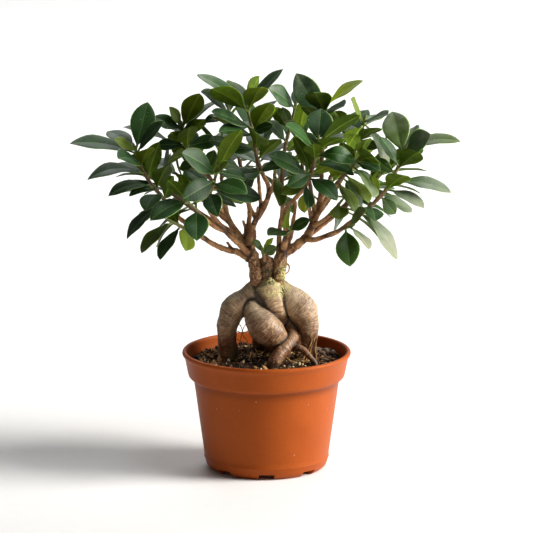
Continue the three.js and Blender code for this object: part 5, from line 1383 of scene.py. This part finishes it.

# Leaves that differ from the rest, by shoot and by their number in the list: how young they look, how pale
# they are and, for some, how light their green is. On some leaves this is painted light: the pallor of leaf 0
# on the top_left, centre_back and far_right shoots is partly painted sheen, the pallor and light green of
# far_right leaf 1 are painted sheen, and the dark green of front_left leaves 0 and 1 is painted shade.
oddLeaves = {
    "shoot_far_left": {3: (0.8, 0), 6: (0.35, 0), 0: (0, 0.12)},
    "shoot_upper_left": {2: (0.3, 0), 3: (0.6, 0), 6: (0.2, 0)},
    "shoot_front_left": {0: (0, 0, 0.2), 1: (0, 0, 0), 2: (0.15, 0), 3: (1, 0.2), 9: (1, 0.2)},
    "shoot_low_left": {0: (0.4, 0.2), 1: (0.3, 0.2), 3: (0.8, 0)},
    "shoot_top_left": {0: (0, 0.3), 1: (0.2, 0), 3: (0.3, 0), 7: (0.2, 0)},
    "shoot_centre_bud": {0: (0.4, 0)},
    "shoot_top_back_left": {0: (0, 0.3), 3: (0.1, 0)},
    "shoot_centre_back": {0: (0, 0.25)},
    "shoot_front_centre": {1: (0, 0, 0), 2: (1, 0.75), 9: (0.4, 0), 13: (0.6, 0)},
    "shoot_neck_sprout": {0: (0.4, 0), 1: (0.8, 0), 2: (0.2, 0)},
    "shoot_stump_sprout": {0: (0.1, 0), 1: (0.3, 0), 2: (0.05, 0)},
    "shoot_inner_right": {0: (0.8, 0.1)},
    "shoot_top_right": {0: (0, 0.3), 2: (0.5, 0.4), 4: (0.3, 0)},
    "shoot_mid_right": {3: (0.3, 0.45), 4: (0, 0.5), 5: (0.8, 0.2), 7: (0.6, 0.3)},
    "shoot_low_right": {0: (0.12, 0.12, 1), 1: (0, 0.86), 2: (0.5, 0.25)},
    "shoot_right": {0: (0.8, 0.15), 1: (0, 0.3), 3: (0, 0.76), 6: (0.2, 0)},
    "shoot_far_right": {
        0: (0.3, 0.45), 1: (0, 0.6, 1), 2: (0.3, 0.2), 5: (0, 0.55), 6: (0, 0.72), 7: (0, 0.62),
        9: (0.15, 0.82), 11: (0.2, 0.2),
    },
}


# All leaves of a shoot at once. A ring goes over the top from left to right and back underneath.
# Stalk: a circle. Blade: a flat lens as wide as the outline, folded up from the rib, its margin
# rolled back by the fourth power of the way across, its edge rippled by a sine along the leaf, with
# a bell-shaped rib below and a groove above. The two pass into each other at the blade's foot.
def leafSkins(leaves, seed):
    source = np.random.default_rng(seed)
    count = len(leaves)
    root, tip, face, side, width, arch, radius = (
        np.array([one[key] for one in leaves])[:, None, None]
        for key in ("root", "tip", "face", "side", "width", "arch", "radius")
    )
    length = np.linalg.norm(tip - root, axis=-1)
    sink = radius * leaf["sinkShare"] / length
    blade = (1 - np.cos(np.pi * np.arange(1, leaf["bladeRings"] + 1) / (leaf["bladeRings"] + 1))) / 2
    foot = layout["petioleShare"]
    stations = np.concatenate([leaf["stalkShares"], foot + (1 - foot) * blade])
    share = np.broadcast_to(stations[None, :, None], (count, len(stations), 1)).copy()
    share[:, 0] = -sink[:, 0]
    top = np.array(leaf["acrossPlaces"])
    across = np.concatenate([top, top[-2:0:-1]])[None, None]
    over = np.concatenate([np.ones(len(top)), -np.ones(len(top) - 2)])[None, None]
    bladeShare = np.clip((share - foot) / (1 - foot), 0, 1)
    taper = leaf["stalkRadius"] * (1 - bladeShare)
    pinchPlace, pinch = leaf["pinch"]
    pinched = 1 - pinch * smoothStep(pinchPlace, 1, bladeShare)
    half = np.hypot(width / 2 * bladeWidth(bladeShare) * pinched, taper)
    flat = smoothStep(foot - leaf["footBlend"][0], foot + leaf["footBlend"][1], share)
    phase = source.uniform(0, 2 * np.pi, (count, 1, 1))
    waves = source.uniform(*leaf["edgeWaves"], (count, 1, 1))
    lift = half * layout["bladeFold"] * np.abs(across) - half * leaf["marginRoll"] * across ** 4
    turned = 2 * np.pi * waves * share + phase + leaf["edgeSkew"] * across
    lift = lift + leaf["rippleHeight"] * across ** 2 * np.sin(turned)
    lens = leaf["halfThickness"] * np.sqrt(np.clip(1 - across ** 2, 0, 1)) * over
    bell = np.exp(-(across / leaf["ribWidth"]) ** 2) * np.clip(1 - bladeShare, 0, 1)
    rib = np.where(over > 0, -leaf["grooveDepth"], -leaf["ribDepth"]) * bell
    rise = (1 - flat) * taper * np.cos(across * np.pi / 2) * over + flat * (lift + lens + rib)
    wide = half * ((1 - flat) * np.sin(across * np.pi / 2) + flat * across)
    spine = root + (tip - root) * share[..., None] + face * (arch * 4 * share * (1 - share))[..., None]
    points = spine + side * wide[..., None] + face * rise[..., None]
    rings, around = len(stations), across.shape[-1]
    poles = np.stack([spine[:, 0, 0], tip[:, 0, 0]], axis=1)
    points = np.concatenate([points.reshape(count, -1, 3), poles], axis=1)
    # the leaf's own flat map in mm, across from the rib and along from the stalk, and the two shares
    apart = phase * leaf["mapSpacing"]
    flatMap = np.stack(np.broadcast_arrays(wide, share * length, apart), axis=-1).reshape(count, -1, 3)
    ends = apart[:, 0] * [0, 0, 1]
    flatMap = np.concatenate([flatMap, np.stack([ends, ends + length[:, 0] * [0, 1, 0]], axis=1)], axis=1)
    rim, along = (
        np.concatenate([np.broadcast_to(field, (count, rings, around)).reshape(count, -1), ends], axis=1)
        for field, ends in ((np.abs(across), np.zeros((count, 2))), (share, np.tile([0.0, 1.0], (count, 1))))
    )
    size = rings * around + 2
    firsts = np.arange(count)[:, None, None] * size
    quads = ringFaces(rings, around)[None] + firsts
    fans = poleFaces(rings, around)[None] + firsts
    quadRing = np.repeat(np.arange(rings - 1), around)
    quadPlace = np.tile(np.arange(around), rings - 1)
    stalkRings = len(leaf["stalkShares"])
    kind = np.where(quadRing < stalkRings - 1, 2, np.where(quadPlace < len(top) - 1, 0, 1))
    fanKind = np.concatenate([np.full(around, 2), np.where(np.arange(around) < len(top) - 1, 0, 1)])
    return {
        "points": points.reshape(-1, 3), "faces": [quads.reshape(-1, 4), fans.reshape(-1, 3)],
        "kinds": [np.tile(kind, count), np.tile(fanKind, count)], "size": size,
        "flatMap": flatMap.reshape(-1, 3), "rim": rim.ravel(), "along": along.ravel(),
        "length": length.ravel(),
    }


# How far a pale leaf has faded, first to grey-green and then to cream. It fades from its tip: twice,
# or three times, the pallor, less 1.3 for each share of its length to go, in patches by the clouds.
def fading(tree, cloud):
    pale, along = [
        addNode(tree, "Attribute", attribute_name=name).outputs["Fac"] for name in ("pallor", "lengthShare")
    ]
    patchy = addNode(tree, "Math", {0: cloud, 1: 1.1, 2: -1.95}, operation="MULTIPLY_ADD").outputs[0]
    toGo = addNode(tree, "Math", {0: along, 1: 1.3, 2: patchy}, operation="MULTIPLY_ADD").outputs[0]
    further = addNode(tree, "Math", {0: toGo, 1: -1.7}, operation="ADD").outputs[0]
    return [
        addNode(tree, "Math", {0: pale, 1: times, 2: rest}, operation="MULTIPLY_ADD").outputs[0]
        for times, rest in ((2, toGo), (3, further))
    ]


# Leathery fig leaf, upper side: dark, waxy and quilted, with a pale rib and a thin pale margin
def upperLeafMaterial():
    material, tree = newMaterial("waxyLeafUpper")
    flat = addNode(tree, "Attribute", attribute_name="leafMap").outputs["Vector"]
    rim, young, tone = [
        addNode(tree, "Attribute", attribute_name=name).outputs["Fac"]
        for name in ("rimShare", "youth", "tone")
    ]
    # clouds 6 mm across, quilting of 0.9 mm, and specks of lime 3.3 mm apart, of which half are kept
    cloud, cell = [
        addNode(tree, "TexNoise", {"Vector": flat, "Scale": scale, "Detail": detail}).outputs[0]
        for scale, detail in ((0.16, 3), (1.1, 3))
    ]
    fleck = addNode(tree, "TexVoronoi", {"Vector": flat, "Scale": 0.3})
    kept = addNode(tree, "Math", {0: fleck.outputs["Color"], 1: 0.5}, operation="GREATER_THAN").outputs[0]
    split = addNode(tree, "SeparateXYZ", {0: flat})
    # side veins about 2.6 mm apart that lean forward by half a millimetre for each one across
    aside = addNode(tree, "Math", {0: split.outputs[0]}, operation="ABSOLUTE").outputs[0]
    onward = {0: aside, 1: -0.55, 2: split.outputs[1]}
    lean = addNode(tree, "Math", onward, operation="MULTIPLY_ADD").outputs[0]
    turns = addNode(tree, "Math", {0: lean, 1: 2 * math.pi / 2.6}, operation="MULTIPLY").outputs[0]
    wave = addNode(tree, "Math", {0: turns}, operation="SINE").outputs[0]
    vein = addNode(tree, "MapRange", {0: wave, 1: 0.72, 2: 1.0, 3: 0.0, 4: 1.0}).outputs[0]
    faded, dry = fading(tree, cloud)
    colour = layered(tree, linear("#112d0e"), [
        (1, "#234817", (tone, 0, 1)),
        (0.55, "#2f5520", (cloud, 0.4, 0.7)),
        (1, "#66760c", (young, 0, 1)),
        (1, "#727b66", (faded, 0, 1)),
        (1, "#928e76", (dry, 0, 1)),
        (0.6, "#a9b79a", (fleck.outputs["Distance"], 0.11, 0.07), (kept, 0, 1)),
        (0.08, "#6f8f4c", (vein, 0, 1)),
        (0.75, "#8da45a", (rim, 0.91, 0.99)),  # thin pale margin
        (0.4, "#76964f", (aside, 0.42, 0.1)),  # pale rib, less than 1 mm wide
    ])
    # a darker leaf is duller too, and each one is a little uneven
    dull = addNode(tree, "MapRange", {0: tone, 3: 0.59, 4: 0.44}).outputs[0]
    uneven = addNode(tree, "MapRange", {0: cloud, 1: 0.3, 2: 0.7, 3: -0.05, 4: 0.05}).outputs[0]
    gloss = addNode(tree, "Math", {0: dull, 1: uneven}, operation="ADD").outputs[0]
    quilt = addNode(tree, "Bump", {"Strength": 0.35, "Distance": 0.00018, "Height": cell}).outputs[0]
    relief = addNode(tree, "Bump", {
        "Strength": 0.25, "Distance": 0.0001, "Height": vein, "Normal": quilt,
    }).outputs[0]
    return closeMaterial(material, {
        "Base Color": colour, "Roughness": gloss, "Normal": relief, "IOR": 1.46,
        "Specular IOR Level": 0.4, "Coat Weight": 0.04, "Coat Roughness": 0.3, "Subsurface Weight": 0.25,
        "Subsurface Radius": (0.6, 1.0, 0.12), "Subsurface Scale": 0.0008,
    })


# The same leaf from below: matte, olive and paler, with the rib standing proud
def lowerLeafMaterial():
    material, tree = newMaterial("matteLeafUnderside")
    flat = addNode(tree, "Attribute", attribute_name="leafMap").outputs["Vector"]
    young, tone = [
        addNode(tree, "Attribute", attribute_name=name).outputs["Fac"] for name in ("youth", "tone")
    ]
    # clouds 5 mm across, a net of veins 1.1 mm apart
    cloud = addNode(tree, "TexNoise", {"Vector": flat, "Scale": 0.2, "Detail": 3}).outputs[0]
    net = addNode(tree, "TexVoronoi", {"Vector": flat, "Scale": 0.9}, feature="DISTANCE_TO_EDGE").outputs[0]
    across = addNode(tree, "SeparateXYZ", {0: flat}).outputs[0]
    aside = addNode(tree, "Math", {0: across}, operation="ABSOLUTE").outputs[0]
    faded, dry = fading(tree, cloud)
    colour = layered(tree, linear("#3a5005"), [
        (1, "#54680b", (cloud, 0.35, 0.7)),
        (0.75, "#2a3d08", (tone, 0.7, 0)),
        (1, "#737f0e", (young, 0, 1)),
        (1, "#6f7859", (faded, 0, 1)),
        (1, "#918d70", (dry, 0, 1)),
        (0.25, "#567414", (net, 0.12, 0)),
        (0.6, "#748a24", (aside, 0.6, 0.25)),  # rib
    ])
    relief = addNode(tree, "Bump", {"Strength": 0.3, "Distance": 0.0001, "Height": net}).outputs[0]
    return closeMaterial(material, {
        "Base Color": colour, "Roughness": 0.6, "Normal": relief, "IOR": 1.42, "Specular IOR Level": 0.14,
        "Subsurface Weight": 0.35, "Subsurface Radius": (0.6, 1.0, 0.12), "Subsurface Scale": 0.0008,
    })


# Leaf stalks and buds: smooth young skin, pale yellow-green, satin
def stalkMaterial():
    material, tree = newMaterial("greenStalk")
    place = addNode(tree, "TexCoord").outputs["Object"]
    # clouds 2.5 mm across
    cloud = addNode(tree, "TexNoise", {"Vector": place, "Scale": 400, "Detail": 2}).outputs[0]
    colour = layered(tree, linear("#566b27"), [(1, "#8a9a45", (cloud, 0, 1))])
    return closeMaterial(material, {"Base Color": colour, "Roughness": 0.42, "IOR": 1.45})


# Young twig bark: green at the tip, brown further down, ringed by leaf scars
def twigMaterial():
    material, tree = newMaterial("youngTwigBark")
    place = addNode(tree, "TexCoord").outputs["Object"]
    down = addNode(tree, "Attribute", attribute_name="rimShare").outputs["Fac"]
    # clouds 2 mm across
    cloud = addNode(tree, "TexNoise", {"Vector": place, "Scale": 500, "Detail": 3}).outputs[0]
    colour = layered(tree, linear("#4d3524"), [
        (1, "#8a6a49", (cloud, 0, 1)),
        (0.85, "#5c6d2c", (down, 0.45, 1)),
    ])
    relief = addNode(tree, "Bump", {"Strength": 0.5, "Distance": 0.0002, "Height": cloud}).outputs[0]
    return closeMaterial(material, {"Base Color": colour, "Roughness": 0.55, "Normal": relief, "IOR": 1.43})


# A twig goes on from the bare wood, swells by a bell at each leaf's foot, and ends in a bud: a
# spindle that narrows to a point.
def twigMesh(shoot, feet):
    start, end = max(shoot["leafy"] - leaf["twigOverlap"], 0), len(shoot["route"]["points"]) - 1
    places, tangents, radii, lengths = sampled(shoot["route"], leaf["twigStep"], start, end)
    if len(feet):
        gap = np.linalg.norm(places[:, None] - feet[None], axis=2).min(axis=1)
        radii = radii + leaf["footSwell"] * np.exp(-(gap / leaf["swellWidth"]) ** 2)
    rise = np.array(leaf["budRise"])
    bud = places[-1] + tangents[-1] * (rise * leaf["budLength"])[:, None]
    budRadii = radii[-1] * (1.15 - 0.15 * rise) * (1 - rise ** 2.2) ** 0.8
    budRadii = np.maximum(budRadii, leaf["leastRadius"])
    places, radii = np.concatenate([places, bud]), np.concatenate([radii, budRadii])
    tangents = np.concatenate([tangents, np.repeat(tangents[-1:], len(rise), axis=0)])
    share = np.concatenate([lengths / lengths[-1], np.full(len(rise), 1.0)])
    points, faces = stemMesh(places, tangents, radii, leaf["twigSides"])
    return points, faces, np.concatenate([np.repeat(share, leaf["twigSides"]), [0, 1]])


leafMaterials = [upperLeafMaterial(), lowerLeafMaterial(), stalkMaterial(), twigMaterial()]
for number, shoot in enumerate(shoots):
    source = np.random.default_rng(leaf["toneSeed"] + number)
    feet = np.array([one["root"] for one in shoot["leaves"]]).reshape(-1, 3)
    twigPoints, twigFaces, twigShare = twigMesh(shoot, feet)
    skins = leafSkins(shoot["leaves"], leaf["seed"] + number)
    points, faces = gather([(skins["points"], skins["faces"]), (twigPoints, twigFaces)])
    piece = makePiece(shoot["name"] + "_leaves", points, faces)
    twigCount = sum(len(block) for block in twigFaces)
    kinds = np.concatenate(skins["kinds"] + [np.full(twigCount, 3)]).astype(np.int32)
    piece.data.polygons.foreach_set("material_index", kinds)
    blank = np.zeros(len(twigPoints))
    youth = 1 - smoothStep(leaf["youngLength"], leaf["grownLength"], skins["length"])
    pallor = np.zeros(len(shoot["leaves"]))
    tone = source.uniform(0, 1, len(shoot["leaves"]))
    for place, one in enumerate(shoot["leaves"]):
        odd = oddLeaves.get(shoot["name"], {}).get(one["row"])
        if odd:
            youth[place], pallor[place] = odd[:2]
            tone[place] = odd[2] if len(odd) > 2 else tone[place]
    setAttribute(piece, "leafMap", np.concatenate([skins["flatMap"], np.zeros((len(twigPoints), 3))]))
    setAttribute(piece, "rimShare", np.concatenate([skins["rim"], twigShare]))
    setAttribute(piece, "lengthShare", np.concatenate([skins["along"], blank]))
    for name, values in (("youth", youth), ("pallor", pallor), ("tone", tone)):
        setAttribute(piece, name, np.concatenate([np.repeat(values, skins["size"]), blank]))
    dress(piece, shoot["name"], "fig_leaf", *leafMaterials)
report("leaves")


# Studio: pale floor and backdrop in one round sweep, a big paper lantern to the right, a weaker
# softbox above, and one over the floor behind the plant
studio = {
    "distance": 5.0,
    "elevation": 12.9,
    "aimHeight": 0.146,
    "frameWidth": 378.4,  # mm that the picture takes in at the plant
    "floorRadius": 6200,
    "bendRadius": 1200,
    "wallTop": 6500,
    "around": 96,
    "bendSteps": 24,
    "innerRing": 600,
    "outerGap": 300,
    "lanternRadius": 0.4,
    "lanternPower": 195,
    "sensorWidth": 36,
}
aim = potAxis + np.array([0, 0, studio["aimHeight"]])


# A sweep turned about the pot's axis: flat floor, then a quarter round, then an upright wall
def sweepMesh():
    floor, around = studio["floorRadius"], studio["around"]
    turn = np.linspace(0, np.pi / 2, studio["bendSteps"])
    bend = studio["bendRadius"] * np.stack([np.sin(turn), 1 - np.cos(turn)], axis=-1) + [floor, 0]
    flat = [[studio["innerRing"], 0], [floor - studio["outerGap"], 0]]
    profile = np.concatenate([flat, bend, [[floor + studio["bendRadius"], studio["wallTop"]]]])
    angle = 2 * np.pi * np.arange(around) / around
    radius, height = profile[:, :1], np.repeat(profile[:, 1:], around, axis=1)
    points = np.stack([radius * np.cos(angle), radius * np.sin(angle), height], axis=-1).reshape(-1, 3)
    k = np.arange(around)
    middle = np.stack([np.full(around, len(points)), k, (k + 1) % around], axis=-1)
    rings = ringFaces(len(profile), around)[:, ::-1]
    return np.concatenate([points, [[0, 0, 0]]]), [rings, middle]


# Matte studio paper: even and almost white
def paperMaterial():
    material, tree = newMaterial("studioPaper")
    place = addNode(tree, "TexCoord").outputs["Object"]
    fibre = addNode(tree, "TexNoise", {"Vector": place, "Scale": 90.0, "Detail": 4.0}).outputs[0]  # 11 mm
    colour = layered(tree, linear("#e9e8e7"), [(1, "#eeedec", (fibre, 0, 1))])
    return closeMaterial(material, {"Base Color": colour, "Roughness": 0.9})


sweep = makePiece("studioSweep", *sweepMesh())
sweep.data.materials.append(paperMaterial())


def softLight(name, place, target, size, watts, colour):
    lamp = bpy.data.lights.new(name, "AREA")
    lamp.shape, lamp.size, lamp.energy, lamp.color = "DISK", size, watts, colour
    holder = bpy.data.objects.new(name, lamp)
    holder.location = place
    way = np.array(target) - np.array(place)
    pitch = math.atan2(math.hypot(way[0], way[1]), -way[2])
    holder.rotation_euler = (pitch, 0, math.atan2(-way[0], way[1]))
    bpy.context.scene.collection.objects.link(holder)


lantern = bpy.data.lights.new("keyRight", "POINT")
lantern.shadow_soft_size, lantern.energy = studio["lanternRadius"], studio["lanternPower"]
lantern.color = (1.0, 0.965, 0.92)
lanternHolder = bpy.data.objects.new("keyRight", lantern)
lanternHolder.location = aim + [1.42, -0.22, 0.58]
bpy.context.scene.collection.objects.link(lanternHolder)
softLight("backSoft", aim + [0, 1.3, 1.0], aim + [0, 1.45, -0.15], 1.3, 19, (0.97, 0.99, 1.0))
softLight("topSoft", aim + [0.8, -0.4, 1.75], aim, 1.1, 17, (0.97, 0.99, 1.0))

world = bpy.data.worlds.new("studioAir")
world.use_nodes = True
world.node_tree.nodes["Background"].inputs[0].default_value = (1, 1, 1, 1)
world.node_tree.nodes["Background"].inputs[1].default_value = 0.02
bpy.context.scene.world = world
bpy.context.scene.view_settings.view_transform = "Standard"  # colours as given, with no film curve

lens = bpy.data.cameras.new("frontCamera")
lens.lens = studio["sensorWidth"] * studio["distance"] / (studio["frameWidth"] * metre)
lens.clip_start, lens.clip_end = 0.1, 30
camera = bpy.data.objects.new("frontCamera", lens)
tilt = math.radians(studio["elevation"])
camera.location = aim + studio["distance"] * np.array([0, -math.cos(tilt), math.sin(tilt)])
camera.rotation_euler = (math.pi / 2 - tilt, 0, 0)
bpy.context.scene.collection.objects.link(camera)
bpy.context.scene.camera = camera
report("studio")
